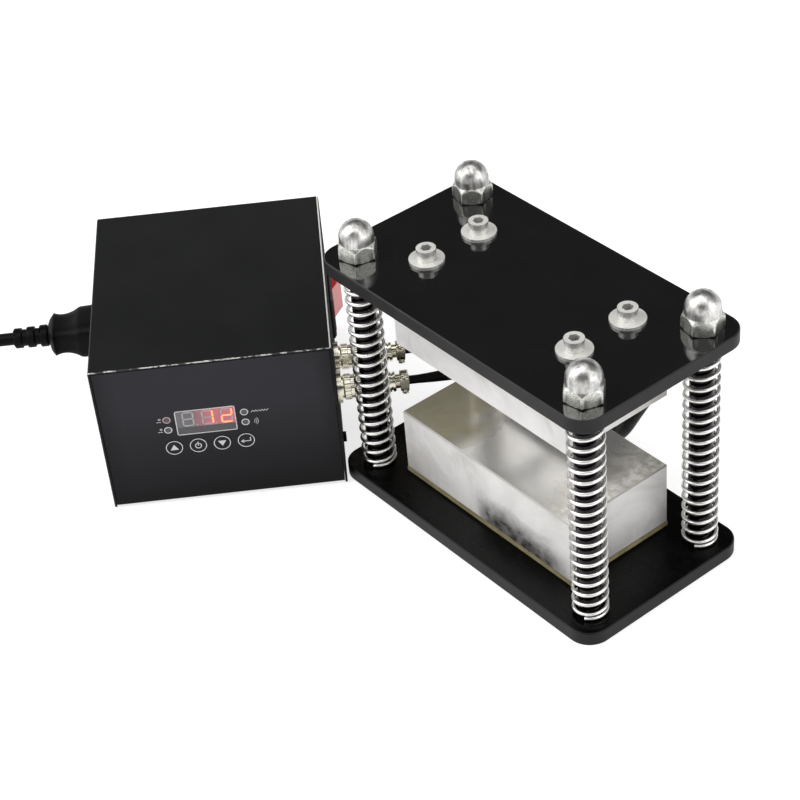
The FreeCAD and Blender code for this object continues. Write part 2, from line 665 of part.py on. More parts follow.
nuts = []
for index, ((x, y), turn) in enumerate(zip(ROD_PLACES, NUT_TURNS)):
    wide = "nut_flats / cos(30 deg)"
    prism = hexagon(f"nut_{index}_hex", "nut_flats", "nut_hex_height", x, y, PLATEN_TOP, turn=turn)
    bevel = cone(f"nut_{index}_bevel", f"{wide} + 2 * (nut_hex_height - 1) * 1.5", "nut_flats * 0.97",
                 "nut_hex_height", x, y, PLATEN_TOP)
    barrel = cylinder(f"nut_{index}_barrel", "nut_dome_diameter", "nut_total_height - nut_dome_diameter / 2",
                      x, y, PLATEN_TOP)
    dome = sphere(f"nut_{index}_dome", "nut_dome_diameter", x, y,
                  f"{PLATEN_TOP} + nut_total_height - nut_dome_diameter / 2")
    outside = joined(f"nut_{index}_solid", [shared(f"nut_{index}_beveled", [prism, bevel]), barrel, dome])
    bore = cylinder(f"nut_{index}_bore", "rod_diameter + 2 * thread_gap", "nut_bore_depth", x, y, PLATEN_TOP)
    nuts.append(cut(f"nut_{index}", outside, [bore]))
keep(joined("dome_nuts", nuts))
doc.recompute()

# Tubes that follow arcs: springs, cords and the stored coil


def arc_between(start, end, apex):
    """The arc from start to end whose end tangents meet at apex."""
    middle = (start + end) * 0.5
    rise = apex - middle
    slope = math.atan2(rise.Length, (end - start).Length / 2)
    return Part.Arc(start, middle + rise * (math.tan(slope / 2) / math.tan(slope)), end).toShape()


def biarc(start, start_way, end, end_way):
    """Two arcs from start to end that share a tangent where they join."""
    chord = end - start
    ways = start_way + end_way
    square = ways.dot(ways) - 4
    linear = -2 * chord.dot(ways)
    reach = (-linear - math.sqrt(linear * linear - 4 * square * chord.dot(chord))) / (2 * square)
    first = start + start_way * reach
    second = end - end_way * reach
    joint = (first + second) * 0.5
    return [arc_between(start, joint, first), arc_between(joint, end, second)]


def wound_path(point_at, way_at, turns, wire, tail=1.0):
    """Biarcs of half a turn between straight ends, one wire diameter long unless a longer tail is asked."""
    steps = [index / 2 for index in range(int(round(turns * 2)) + 1)]
    places = [(point_at(turn), way_at(turn)) for turn in steps]
    start, start_way = places[0]
    end, end_way = places[-1]
    edges = [Part.LineSegment(start - start_way * wire, start).toShape()]
    for (here, way), (there, next_way) in zip(places, places[1:]):
        edges += biarc(here, way, there, next_way)
    edges.append(Part.LineSegment(end, end + end_way * wire * tail).toShape())
    return Part.Wire(edges)


def pipe_solid(path, profile):
    shell = Part.BRepOffsetAPI.MakePipeShell(path)
    shell.add(profile, False, False)
    shell.build()
    shell.makeSolid()
    return shell.shape()


def ring_profile(centre, way, diameter, sides):
    """A regular outline square to the path with the area of the round section."""
    across = way.cross(V(0, 0, 1) if abs(way.z) < 0.9 else V(1, 0, 0))
    across.normalize()
    along = across.cross(way)
    step = 2 * math.pi / sides
    radius = diameter / 2 * math.sqrt(step / math.sin(step))
    points = []
    for index in range(sides):
        angle = step * (index + 0.5)
        points.append(centre + across * (radius * math.cos(angle)) + along * (radius * math.sin(angle)))
    return Part.makePolygon(points + points[:1])


def least_gap(point_at, turns, diameter, samples=48):
    """The least distance from one turn to any other, less the tube's diameter."""
    count = int(turns * samples)
    points = [point_at(index / samples) for index in range(count + 1)]
    least = min((points[i] - points[j]).Length
                for i in range(0, count + 1, 2)
                for j in range(i + samples // 2, count + 1))
    return least - diameter


SPRING_SIDES = 6
TUBE_SIDES = 8
SPRING_START = math.radians(-50)


def helix(radius, rise):
    """Point and direction functions of a helix, counted in turns, from its height function."""
    def point_at(turn):
        angle = SPRING_START + 2 * math.pi * turn
        return V(radius * math.cos(angle), radius * math.sin(angle), rise(turn))

    def way_at(turn):
        angle = SPRING_START + 2 * math.pi * turn
        climb = (rise(turn + 0.01) - rise(turn - 0.01)) / 0.02
        way = V(-2 * math.pi * radius * math.sin(angle), 2 * math.pi * radius * math.cos(angle), climb)
        return way.normalize()
    return point_at, way_at


def spring_shape():
    """A right-handed return spring with two close end turns, its middle on the Z axis."""
    wire = size("spring_wire")
    radius = size("rod_diameter") / 2 + size("spring_bore_gap") + wire / 2
    bottom = size("plate_thickness") + size("spring_seat_gap") + wire / 2
    rise_total = size("plate_gap") - 2 * size("spring_seat_gap") - wire
    turns = size("spring_turns")
    end_pitch = size("spring_end_pitch")
    pitch = (rise_total - 2 * end_pitch) / (turns - 2)

    def rise(turn):
        if turn <= 1:
            return bottom + end_pitch * turn
        if turn >= turns - 1:
            return bottom + rise_total - end_pitch * (turns - turn)
        return bottom + end_pitch + pitch * (turn - 1)

    point_at, way_at = helix(radius, rise)
    path = wound_path(point_at, way_at, turns, wire)
    start_way = way_at(0)
    profile = ring_profile(point_at(0) - start_way * wire, start_way, wire, SPRING_SIDES)
    print(f"spring: {turns:g} turns, least gap to itself {least_gap(point_at, turns, wire):.2f} mm")
    return pipe_solid(path, profile)


spring = spring_shape()
for name, sx, sy in CORNERS:
    x = size("rod_pitch_length") / 2 * (-1 if sx else 1)
    y = size("rod_pitch_width") / 2 * (-1 if sy else 1)
    keep_shape(f"spring_{name}", spring.copy(), FreeCAD.Placement(V(x, y, 0), FreeCAD.Rotation()))


def route_path(points, label, diameter):
    """Straight runs joined by tangent arcs; prints the radii of the arcs."""
    edges = []
    radii = []
    last = points[0]
    for before, corner, after in zip(points, points[1:], points[2:]):
        inward = corner - before
        outward = after - corner
        shorter = min(inward.Length, outward.Length)
        trim = 0.45 * shorter
        half_turn = inward.getAngle(outward) / 2
        radii.append(trim / math.tan(half_turn))
        start = corner - inward.normalize() * trim
        end = corner + outward.normalize() * trim
        edges.append(Part.LineSegment(last, start).toShape())
        edges.append(arc_between(start, end, corner))
        last = end
    edges.append(Part.LineSegment(last, points[-1]).toShape())
    path = Part.Wire(edges)
    print(f"{label}: {path.Length:.0f} mm, radii " + " ".join(f"{radius:.0f}" for radius in radii)
          + f", least {min(radii) / diameter:.1f} diameters")
    return path


def tube(label, points, diameter):
    """A tube along the points, its volume tested against its section and length."""
    path = route_path(points, label, diameter)
    way = (points[1] - points[0]).normalize()
    solid = pipe_solid(path, ring_profile(points[0], way, diameter, TUBE_SIDES))
    expected = math.pi / 4 * diameter ** 2 * path.Length
    if abs(solid.Volume / expected - 1) > 0.01:
        raise ValueError(f"{label} has volume {solid.Volume:.0f}, not {expected:.0f}")
    return solid


# Heater leads, junctions and cables

RING_START = "(socket_flange_thickness + plug_ring_gap)"
RING_END = f"({RING_START} + plug_ring_length)"
SHELL_END = f"({RING_END} + plug_shell_length)"
plug_reach = sum(size(name) for name in ("socket_flange_thickness", "plug_ring_gap", "plug_ring_length",
                                         "plug_shell_length", "plug_clamp_length"))


def plug_mouth(number):
    """Where a cable leaves its plug, and the point one short run beyond it."""
    place = case_placement()
    across = size("socket_first_y") + number * size("socket_pitch")
    run = size("plug_cable_run")
    return [place.multVec(V(plug_reach, across, size("socket_z"))),
            place.multVec(V(plug_reach + run, across, size("socket_z")))]


def junction_mouths(end, turn):
    """Three points round the end of a junction, where its leads come out."""
    spread = size("lead_spread")
    angles = [math.radians(angle) for angle in (0, 120, 240)]
    return [end + turn.multVec(V(spread * math.cos(angle), spread * math.sin(angle), 0)) for angle in angles]


def heater_end(side, middle):
    reach = size("block_width") / 2 + size("heater_collar_length")
    return V(side * size("heater_pitch") / 2, reach, middle)


def probe_end(middle):
    reach = size("block_width") / 2 + size("probe_hex_height") + size("probe_sleeve_length")
    return V(0, reach, middle)


lower_middle = size("plate_thickness") + size("insulation_thickness") + size("block_height") / 2
upper_middle = (size("plate_thickness") + size("plate_gap") - size("insulation_thickness")
                - size("block_height") / 2)

left = -size("rod_pitch_length") / 2
back = size("rod_pitch_width") / 2 + size("plate_side_margin")
near = size("heater_pitch") / 2

LOWER_CABLE = [V(left + 10.9, 12, 44.6), V(left + 13.6, 26, 43), V(left + 13.6, back - 13.5, 40.5),
               V(left + 13.6, back - 0.5, 40.5)]
UPPER_CABLE = [
    V(left - 14.9, 25, 44), V(left - 15.9, 38, 39.5), V(left - 15.5, back - 3.5, 31),
    V(left - 9.5, back + 7.5, 22), V(left + 2.5, back + 15, 13), V(left + 21.5, back + 18.5, 6),
    V(left + 40.5, back + 18.5, 3.6), V(-22, back + 17, 5.5), V(-7, back + 14.5, 14), V(3, back + 13, 28),
    V(12, back + 11.8, 42), V(20.5, back + 10.8, 54), V(24, back + 10.5, 65), V(24, back + 10.5, 76),
]
LOWER_LEADS = [
    [V(left + 26.5, back + 37.5, 37), V(-near - 6, back + 34.5, 33), V(-near, back + 18.5, 30.5),
     V(-near, back + 0.5, 29)],
    [V(left + 15.5, back + 37.5, 30), V(left + 29.5, back + 38.5, 20), V(-near - 5, back + 28.5, 14.5),
     V(8 - near, back + 14.5, 13.5), V(-11, back + 2.5, 12), V(3, back - 1.5, 11), V(18, back - 1.5, 13),
     V(near - 1, back - 1.5, 19), V(near, back - 6.5, 29)],
    [V(left + 17.5, back + 39.5, 40), V(left + 33.5, back + 46.5, 34), V(-31, back + 39.5, 29),
     V(-15, back + 21.5, 27), V(0, back + 5, 29)],
]
UPPER_LEADS = [
    [V(near, back - 5.5, 109)],
    [V(3, back + 16, 110), V(-16, back + 13.5, 110.5), V(2 - near, back + 4.5, 110),
     V(-near, back - 6.5, 109)],
    [V(7, back + 11, 109.5), V(0, back + 4.5, 109)],
]


def junction(label, start, turn, first_run, leads, ends, lead_names):
    """The shrunk sleeve at the end of a cable, and the three leads that come straight out of it."""
    length = size("junction_length")
    sleeve = Part.makeCylinder(size("junction_diameter") / 2, length)
    keep_shape(f"{label}_lead_junction", sleeve, FreeCAD.Placement(start, turn))
    mouths = junction_mouths(start + turn.multVec(V(0, 0, length)), turn)
    tubes = []
    for mouth, points, end, name in zip(mouths, leads, ends, lead_names):
        first = mouth + turn.multVec(V(0, 0, first_run))
        tubes.append(tube(f"{label} {name} lead", [mouth, first] + points + [end], size("lead_diameter")))
    keep_shape(f"{label}_heater_leads", Part.makeCompound(tubes))


diameter = size("cable_diameter")
keep_shape("lower_heater_cable", tube("lower cable", plug_mouth(0) + LOWER_CABLE, diameter))
keep_shape("upper_heater_cable", tube("upper cable", plug_mouth(1) + UPPER_CABLE, diameter))
junction("lower", LOWER_CABLE[-1], FreeCAD.Rotation(V(0, 0, 1), V(0, 1, 0)), size("lower_lead_run"),
         LOWER_LEADS, [heater_end(-1, lower_middle), heater_end(1, lower_middle), probe_end(lower_middle)],
         ["left heater", "right heater", "thermocouple"])
junction("upper", UPPER_CABLE[-1], FreeCAD.Rotation(), size("upper_lead_run"), UPPER_LEADS,
         [heater_end(1, upper_middle), heater_end(-1, upper_middle), probe_end(upper_middle)],
         ["right heater", "left heater", "thermocouple"])

# Control box, in its own frame: X 0 is its right side, Y 0 its front, and both walls stand on Z

COVER_IN = "(sheet_thickness + sheet_fit)"
FRONT_WALL = "overlay_thickness"
FRONT_IN = "(overlay_thickness + sheet_thickness)"
TAB_Z = f"({CASE_FLOOR} + tab_height)"
TAB_YS = ["tab_inset", "case_depth - tab_inset"]
SOCKET_YS = ["socket_first_y", "socket_first_y + socket_pitch"]
LED_PLACES = [(x, z) for x in ("-led_left_x", "-led_right_x") for z in ("led_high_z", "led_low_z")]
KEY_NAMES = ["key_up", "key_ok", "key_down", "key_enter"]
KEY_XS = [f"({index} * key_pitch - key_first_x)" for index in range(4)]

cover = new_body("case_cover")
outline = new_sketch(cover, "outline", "XZ_Plane", "-case_depth")
add_profile(outline, [
    ("-case_width", "foot_height"),
    ("-case_width + sheet_thickness", "foot_height"),
    ("-case_width + sheet_thickness", "case_top - sheet_thickness"),
    ("-sheet_thickness", "case_top - sheet_thickness"),
    ("-sheet_thickness", "foot_height"),
    ("0", "foot_height"),
    ("0", "case_top"),
    ("-case_width", "case_top"),
])
pad(cover, outline, "case_depth")


def top_bend(edge):
    box = edge.BoundBox
    return box.ZLength < 1e-6 and box.XLength < 1e-6 and abs(box.ZMin - size("case_top")) < 1e-6


cover.Tip = dress_edges(cover, "Fillet", "Radius", "bend_radius", top_bend)
right = new_sketch(cover, "right_holes", "YZ_Plane")
add_circles(right, "socket_barrel + 2 * hole_fit", [(y, "socket_z") for y in SOCKET_YS])
add_circles(right, "case_screw_diameter + 2 * hole_fit", [(y, TAB_Z) for y in TAB_YS])
add_rectangle(right, "rocker_body_length + 2 * hole_fit", "rocker_body_height + 2 * hole_fit",
              "rocker_y", "socket_z")
pocket(cover, right, "sheet_thickness")
left = new_sketch(cover, "left_holes", "YZ_Plane", "-case_width + sheet_thickness")
add_circles(left, "case_screw_diameter + 2 * hole_fit", [(y, TAB_Z) for y in TAB_YS])
add_rectangle(left, "inlet_body_width + 2 * hole_fit", "inlet_body_height + 2 * hole_fit",
              "inlet_y", "socket_z")
INLET_SCREWS = [(f"inlet_y {sign} inlet_screw_pitch / 2", "socket_z") for sign in ("-", "+")]
add_circles(left, "case_screw_diameter + 2 * thread_gap", INLET_SCREWS)
pocket(cover, left, "sheet_thickness")
keep(cover, in_case=True)

chassis = new_body("case_chassis")
outline = new_sketch(chassis, "outline", "YZ_Plane", f"-case_width + {COVER_IN}")
CHASSIS_TOP = f"case_top - {COVER_IN}"
add_profile(outline, [
    (FRONT_WALL, "foot_height"),
    ("case_depth", "foot_height"),
    ("case_depth", CHASSIS_TOP),
    ("case_depth - sheet_thickness", CHASSIS_TOP),
    ("case_depth - sheet_thickness", CASE_FLOOR),
    (FRONT_IN, CASE_FLOOR),
    (FRONT_IN, CHASSIS_TOP),
    (FRONT_WALL, CHASSIS_TOP),
])
pad(chassis, outline, f"case_width - 2 * {COVER_IN}")


def floor_bend(edge):
    box = edge.BoundBox
    return box.ZLength < 1e-6 and box.YLength < 1e-6 and abs(box.ZMin - size("foot_height")) < 1e-6


chassis.Tip = dress_edges(chassis, "Fillet", "Radius", "bend_radius", floor_bend)
tabs = new_sketch(chassis, "tabs", "XY_Plane", CASE_FLOOR)
for tab_y in TAB_YS:
    for tab_x in (f"-{COVER_IN} - sheet_thickness / 2", f"-case_width + {COVER_IN} + sheet_thickness / 2"):
        add_rectangle(tabs, "sheet_thickness", "tab_size", tab_x, tab_y)
pad(chassis, tabs, "tab_height + tab_size / 2")
for side, plane_x in (("right", f"-{COVER_IN}"), ("left", f"-case_width + {COVER_IN} + sheet_thickness")):
    taps = new_sketch(chassis, f"{side}_taps", "YZ_Plane", plane_x)
    add_circles(taps, "case_screw_diameter + 2 * thread_gap", [(y, TAB_Z) for y in TAB_YS])
    pocket(chassis, taps, "sheet_thickness")
front = new_sketch(chassis, "front_holes", "XZ_Plane", f"-{FRONT_IN}")
add_rectangle(front, "window_width - 2 * window_lip", "window_height - 2 * window_lip",
              "-window_x", "window_z")
add_circles(front, "led_diameter + 2 * led_fit", LED_PLACES)
add_circles(front, "key_diameter + 2 * key_fit", [(x, "key_z") for x in KEY_XS])
pocket(chassis, front, "sheet_thickness", reverse=True)
keep(chassis, in_case=True)


def pan_screw(name, wall_x, y, z, reach, outward):
    """A screw along X whose head bears on a face at wall_x."""
    head_x = wall_x if outward > 0 else f"{wall_x} - case_screw_head_height"
    shank_x = f"{wall_x} - ({reach})" if outward > 0 else wall_x
    head = cylinder(f"{name}_head", "case_screw_head", "case_screw_head_height", head_x, y, z, "x")
    shank = cylinder(f"{name}_shank", "case_screw_diameter", reach, shank_x, y, z, "x")
    return joined(name, [head, shank])


screws = []
for wall_x, outward in (("0", 1), ("-case_width", -1)):
    for screw_y in TAB_YS:
        screws.append(pan_screw(f"cover_screw_{len(screws)}", wall_x, screw_y, TAB_Z,
                                "3 * sheet_thickness + sheet_fit", outward))
keep(joined("case_screws", screws), in_case=True)

feet = []
for foot_x in ("-foot_inset", "-case_width + foot_inset"):
    for foot_y in ("foot_inset", "case_depth - foot_inset"):
        feet.append(cylinder(f"foot_{len(feet)}", "foot_diameter", "foot_height", foot_x, foot_y, "0"))
keep(joined("case_feet", feet), in_case=True)

overlay = new_body("front_overlay")
outline = new_sketch(overlay, "outline", "XZ_Plane", "-overlay_thickness")
add_rectangle(outline, "case_width - 2 * overlay_margin", "case_top - foot_height - 2 * overlay_margin",
              "-case_width / 2", "(case_top + foot_height) / 2")
pad(overlay, outline, "overlay_thickness")
holes = new_sketch(overlay, "holes", "XZ_Plane", "-overlay_thickness")
add_rectangle(holes, "window_width + 2 * window_fit", "window_height + 2 * window_fit",
              "-window_x", "window_z")
add_circles(holes, "led_diameter + 2 * led_fit", LED_PLACES)
add_circles(holes, "key_diameter + 2 * key_fit", [(x, "key_z") for x in KEY_XS])
pocket(overlay, holes, "overlay_thickness", reverse=True)
keep(overlay, in_case=True)

pane = block("window_pane", "window_width", "overlay_thickness", "window_height", "-window_x",
             "overlay_thickness / 2", "window_z - window_height / 2")
keep(set_piece("display_window", pane), in_case=True)
digits = block("display_box", "window_width + 2 * display_margin", "board_standoff - display_gap",
               "window_height + 2 * display_margin", "-window_x",
               f"{FRONT_IN} + (board_standoff + display_gap) / 2",
               "window_z - window_height / 2 - display_margin")
keep(set_piece("display_module", digits), in_case=True)

BOARD_Y = f"({FRONT_IN} + board_standoff)"
pieces = [block("control_sheet", "board_width", "board_thickness", "board_height", "-board_middle_x",
                f"{BOARD_Y} + board_thickness / 2", "board_middle_z - board_height / 2")]
for sx in ("-", "+"):
    for sz in ("-", "+"):
        pieces.append(cylinder(f"control_spacer_{len(pieces)}", "spacer_diameter", "board_standoff",
                               f"-board_middle_x {sx} (board_width / 2 - spacer_inset)", FRONT_IN,
                               f"board_middle_z {sz} (board_height / 2 - spacer_inset)", "y"))
for key_x in KEY_XS:
    pieces.append(block(f"key_switch_{len(pieces)}", "key_switch_size", "key_switch_height",
                        "key_switch_size", key_x, f"{BOARD_Y} - key_switch_height / 2",
                        "key_z - key_switch_size / 2"))
keep(joined("control_board", pieces), in_case=True)

lamps = []
for led_x, led_z in LED_PLACES:
    lamps.append(cylinder(f"lamp_{len(lamps)}", "led_diameter", BOARD_Y, led_x, "0", led_z, "y"))
keep(joined("indicator_leds", lamps), in_case=True)

KEY_BACK = f"({FRONT_IN} + key_rim_gap + key_rim)"
for name, key_x in zip(KEY_NAMES, KEY_XS):
    cap = cylinder(f"{name}_cap", "key_diameter", f"{KEY_BACK} + key_crown",
                   key_x, "-key_crown", "key_z", "y")
    rim = cylinder(f"{name}_rim", "key_diameter + 2 * (key_fit + key_rim)", "key_rim", key_x,
                   f"{FRONT_IN} + key_rim_gap", "key_z", "y")
    stem = cylinder(f"{name}_stem", "key_stem_diameter",
                    f"{BOARD_Y} - key_switch_height - key_travel - key_rim_gap - {KEY_BACK}",
                    key_x, KEY_BACK, "key_z", "y")
    keep(joined(name, [cap, rim, stem]), in_case=True)

POWER_Z = f"({CASE_FLOOR} + power_standoff)"
pieces = [block("power_sheet", "power_board_width", "power_board_depth", "board_thickness", "-case_width / 2",
                "power_board_y", POWER_Z)]
for sx in ("-", "+"):
    for sy in ("-", "+"):
        pieces.append(cylinder(f"power_spacer_{len(pieces)}", "spacer_diameter", "power_standoff",
                               f"-case_width / 2 {sx} (power_board_width / 2 - spacer_inset)",
                               f"power_board_y {sy} (power_board_depth / 2 - spacer_inset)", CASE_FLOOR))
keep(joined("power_board", pieces), in_case=True)
PART_Z = f"({POWER_Z} + board_thickness)"
core = block("transformer_core", "transformer_size", "transformer_size", "transformer_size",
             "-case_width / 2 - power_board_width / 2 + transformer_size / 2 + 2 * spacer_inset",
             "power_board_y - power_board_depth / 2 + transformer_size / 2 + 2 * spacer_inset", PART_Z)
keep(set_piece("power_transformer", core), in_case=True)
relays = []
for sy in ("-", "+"):
    relays.append(block(f"relay_{len(relays)}", "relay_width", "relay_length", "relay_height",
                        "-case_width / 2 + power_board_width / 4",
                        f"power_board_y {sy} 0.7 * relay_length", PART_Z))
keep(joined("heater_relays", relays), in_case=True)

# Heater sockets in the right side, and the plugs screwed onto them

flutes = int(size("plug_ring_flutes"))
for level, socket_y in zip(("lower", "upper"), SOCKET_YS):
    at = (socket_y, "socket_z", "x")
    flange = cylinder(f"{level}_flange", "socket_flange", "socket_flange_thickness", "0", *at)
    barrel = cylinder(f"{level}_barrel", "socket_barrel", "socket_barrel_length + socket_inner_length",
                      "-socket_inner_length", *at)
    nut = hexagon(f"{level}_nut", "socket_nut", "socket_nut_height",
                  "-sheet_thickness - socket_nut_height", *at)
    keep(joined(f"{level}_heater_socket", [flange, barrel, nut]), in_case=True)

    lip_x = "(socket_barrel_length + 1)"
    ring = cylinder(f"{level}_ring", "plug_ring_diameter", "plug_ring_length", RING_START, *at)
    tools = [
        cylinder(f"{level}_ring_thread", "socket_barrel + 2 * thread_gap", f"{lip_x} - {RING_START}",
                 RING_START, *at),
        cylinder(f"{level}_ring_lip", "plug_neck_diameter + 2 * plug_neck_fit", f"{RING_END} - {lip_x}",
                 lip_x, *at),
    ]
    for index in range(flutes):
        angle = f"({360 * index / flutes:g} deg)"
        tools.append(cylinder(f"{level}_flute_{index}", "plug_ring_flute_diameter", "plug_ring_length",
                              RING_START, f"{socket_y} + plug_ring_diameter / 2 * cos{angle}",
                              f"socket_z + plug_ring_diameter / 2 * sin{angle}", "x"))
    keep(cut(f"{level}_plug_ring", ring, tools), in_case=True)

    shell_x = f"({RING_END} + plug_neck_fit)"
    flange = cylinder(f"{level}_shell_flange", "socket_barrel - 2 * plug_neck_fit", "1 - plug_neck_fit",
                      "socket_barrel_length", *at)
    neck = cylinder(f"{level}_neck", "plug_neck_diameter", f"{shell_x} - socket_barrel_length",
                    "socket_barrel_length", *at)
    taper_x = f"({SHELL_END} - 0.35 * plug_shell_length)"
    shell = cylinder(f"{level}_shell", "plug_shell_diameter", f"{taper_x} - {shell_x}", shell_x, *at)
    taper = cone(f"{level}_taper", "plug_shell_diameter", "plug_tail_diameter", "0.1 * plug_shell_length",
                 taper_x, *at)
    tail = cylinder(f"{level}_tail", "plug_tail_diameter", "0.35 * plug_shell_length", taper_x, *at)
    pieces = [flange, neck, shell, taper, tail]
    for rib in (0.14, 0.22, 0.30):
        pieces.append(cylinder(f"{level}_rib_{len(pieces)}", "plug_tail_diameter + 1.6",
                               "0.04 * plug_shell_length", f"{taper_x} + {rib} * plug_shell_length", *at))
    pieces.append(block(f"{level}_saddle", "plug_clamp_length", "plug_clamp_width", "plug_clamp_height * 0.7",
                        f"{SHELL_END} + plug_clamp_length / 2", socket_y,
                        "socket_z - plug_clamp_height * 0.35"))
    pieces.append(block(f"{level}_ears", "plug_clamp_length * 0.6", "plug_clamp_width * 0.6",
                        "plug_clamp_height", f"{SHELL_END} + plug_clamp_length * 0.55", socket_y,
                        "socket_z - plug_clamp_height / 2"))
    for sign in ("-", "+"):
        pieces.append(cylinder(f"{level}_clamp_screw_{len(pieces)}", "plug_clamp_screw",
                               "plug_clamp_width + 1.6", f"{SHELL_END} + plug_clamp_length * 0.55",
                               f"{socket_y} - plug_clamp_width / 2 - 1.6",
                               f"socket_z {sign} (plug_clamp_height - plug_clamp_screw) / 2", "y"))
    keep(joined(f"{level}_plug_shell", pieces), in_case=True)

# Power switch in the right side, its rocker leaning with the back half standing out


def bezel_section(sketch, inset):
    add_rectangle(sketch, f"rocker_bezel_length - 2 * {inset}", f"rocker_bezel_height - 2 * {inset}",
                  "rocker_y", "socket_z")


bezel = new_body("rocker_bezel")
rims = []
for index, (x, inset) in enumerate((("0", "0"), ("rocker_bezel_thickness / 2", "0"),
                                    ("rocker_bezel_thickness", "rocker_bezel_bevel"))):
    rims.append(new_sketch(bezel, f"rim_{index}", "YZ_Plane", x))
    bezel_section(rims[-1], inset)
doc.recompute()
loft = bezel.newObject("PartDesign::AdditiveLoft", "rocker_bezel_loft")
loft.Profile = rims[0]
loft.Sections = rims[1:]
loft.Ruled = True
doc.recompute()
body = block("rocker_body", "rocker_body_depth", "rocker_body_length", "rocker_body_height",
             "-rocker_body_depth / 2", "rocker_y", "socket_z - rocker_body_height / 2")
WELL_DEPTH = "(rocker_bezel_thickness + rocker_depth + 3)"
well = block("rocker_well", WELL_DEPTH, "rocker_length + 2 * rocker_fit", "rocker_height + 2 * rocker_fit",
             f"rocker_bezel_thickness - {WELL_DEPTH} / 2", "rocker_y",
             "socket_z - rocker_height / 2 - rocker_fit")
keep(cut("rocker_switch_housing", joined("rocker_case", [bezel, body]), [well]), in_case=True)

PIVOT = "(rocker_bezel_thickness / 2)"


def leaned(out, back):
    """A point of the rocker's outline seen from above, leaned about its pivot."""
    along = "cos(rocker_tilt * 1 deg)"
    across = "sin(rocker_tilt * 1 deg)"
    return (f"{PIVOT} + ({out}) * {along} + ({back}) * {across}",
            f"rocker_y - ({out}) * {across} + ({back}) * {along}")


rocker = new_body("rocker")
outline = new_sketch(rocker, "outline", "XY_Plane", "socket_z - rocker_height / 2")
RISE = f"(rocker_valley - {PIVOT} + rocker_length / 2 * tan(rocker_tilt * 1 deg))"
add_profile(outline, [
    leaned("-rocker_depth", "-rocker_length * 0.34"),
    leaned("0", "-rocker_length / 2"),
    leaned(RISE, "-rocker_length / 2 + 3 * rocker_fit"),
    leaned(f"rocker_valley - {PIVOT}", "0"),
    leaned(RISE, "rocker_length / 2 - 3 * rocker_fit"),
    leaned("0", "rocker_length / 2"),
    leaned("-rocker_depth", "rocker_length * 0.34"),
])
pad(rocker, outline, "rocker_height")
rocker.Tip = dress_edges(rocker, "Fillet", "Radius", "rocker_fit", lambda edge: edge.BoundBox.XMax > 3)
keep(rocker, in_case=True)

# Mains inlet in the left side, with the cord's connector in it

inlet_x = "(-case_width - inlet_flange_thickness)"
flange = block("inlet_flange", "inlet_flange_thickness", "inlet_flange_width", "inlet_flange_height",
               "-case_width - inlet_flange_thickness / 2", "inlet_y", "socket_z - inlet_flange_height / 2")
body = block("inlet_body", "inlet_body_depth", "inlet_body_width", "inlet_body_height",
             "-case_width + inlet_body_depth / 2", "inlet_y", "socket_z - inlet_body_height / 2")
well = block("inlet_well", "connector_nose + connector_fit", "connector_width + 2 * connector_fit",
             "connector_height + 2 * connector_fit", f"{inlet_x} + (connector_nose + connector_fit) / 2",
             "inlet_y", "socket_z - connector_height / 2 - connector_fit")
tools = [well]
for screw_y, screw_z in INLET_SCREWS:
    tools.append(cylinder(f"inlet_hole_{len(tools)}", "case_screw_diameter + 2 * hole_fit",
                          "inlet_flange_thickness", inlet_x, screw_y, screw_z, "x"))
keep(cut("power_inlet", joined("inlet_solid", [flange, body]), tools), in_case=True)
screws = [pan_screw(f"inlet_screw_{index}", inlet_x, screw_y, screw_z,
                    "inlet_flange_thickness + 2 * sheet_thickness", -1)
          for index, (screw_y, screw_z) in enumerate(INLET_SCREWS)]
keep(joined("inlet_screws", screws), in_case=True)


def lofted(label, sections, y, z):
    """A body along X through straight-sided sections: x, width, height and corner cut of each."""
    body = new_body(label)
    sketches = []
    for index, (x, width, height, corner) in enumerate(sections):
        sketch = new_sketch(body, f"section_{index}", "YZ_Plane", x)
        points = []
        for sy, sz, order in (("+", "-", 0), ("+", "+", 1), ("-", "+", 0), ("-", "-", 1)):
            pair = [
                (f"{y} {sy} (({width}) / 2 - {corner})", f"{z} {sz} ({height}) / 2"),
                (f"{y} {sy} ({width}) / 2", f"{z} {sz} (({height}) / 2 - {corner})"),
            ]
            points += pair[::-1] if order else pair
        add_profile(sketch, points)
        sketches.append(sketch)
    doc.recompute()
    loft = body.newObject("PartDesign::AdditiveLoft", f"{label}_loft")
    loft.Profile = sketches[0]
    loft.Sections = sketches[1:]
    loft.Ruled = True
    for sketch in sketches:
        sketch.Visibility = False
    doc.recompute()
    return body


def grip_at(share, growth, corner="connector_corner"):
    return (f"{inlet_x} - connector_grip_length * {share}", f"connector_width + 2 * {growth}",
            f"connector_height + 2 * {growth}", corner)


grip = lofted("connector_grip", [
    grip_at(0, "connector_collar"),
    grip_at(0.27, "connector_collar"),
    grip_at(0.36, "0"),
    grip_at(0.70, "(-connector_collar / 3)"),
    grip_at(0.80, "connector_collar / 2"),
    grip_at(0.94, "connector_collar / 2"),
    grip_at(1, "(-connector_collar / 3)"),
], "inlet_y", "socket_z")
nose = block("connector_nose_solid", "connector_nose", "connector_width", "connector_height",
             f"{inlet_x} + connector_nose / 2", "inlet_y", "socket_z - connector_height / 2")
relief_points = [("0", "0"), ("relief_diameter / 2 + relief_rib", "0")]
for share in (0.0, 0.36, 0.72):
    crest = "relief_diameter / 2 + relief_rib"
    relief_points += [(crest, f"-relief_length * {share + 0.17:.2f}"),
                      ("relief_diameter / 2", f"-relief_length * {share + 0.2:.2f}"),
                      ("relief_diameter / 2", f"-relief_length * {share + 0.28:.2f}")]
    if share < 0.7:
        relief_points.append((crest, f"-relief_length * {share + 0.31:.2f}"))
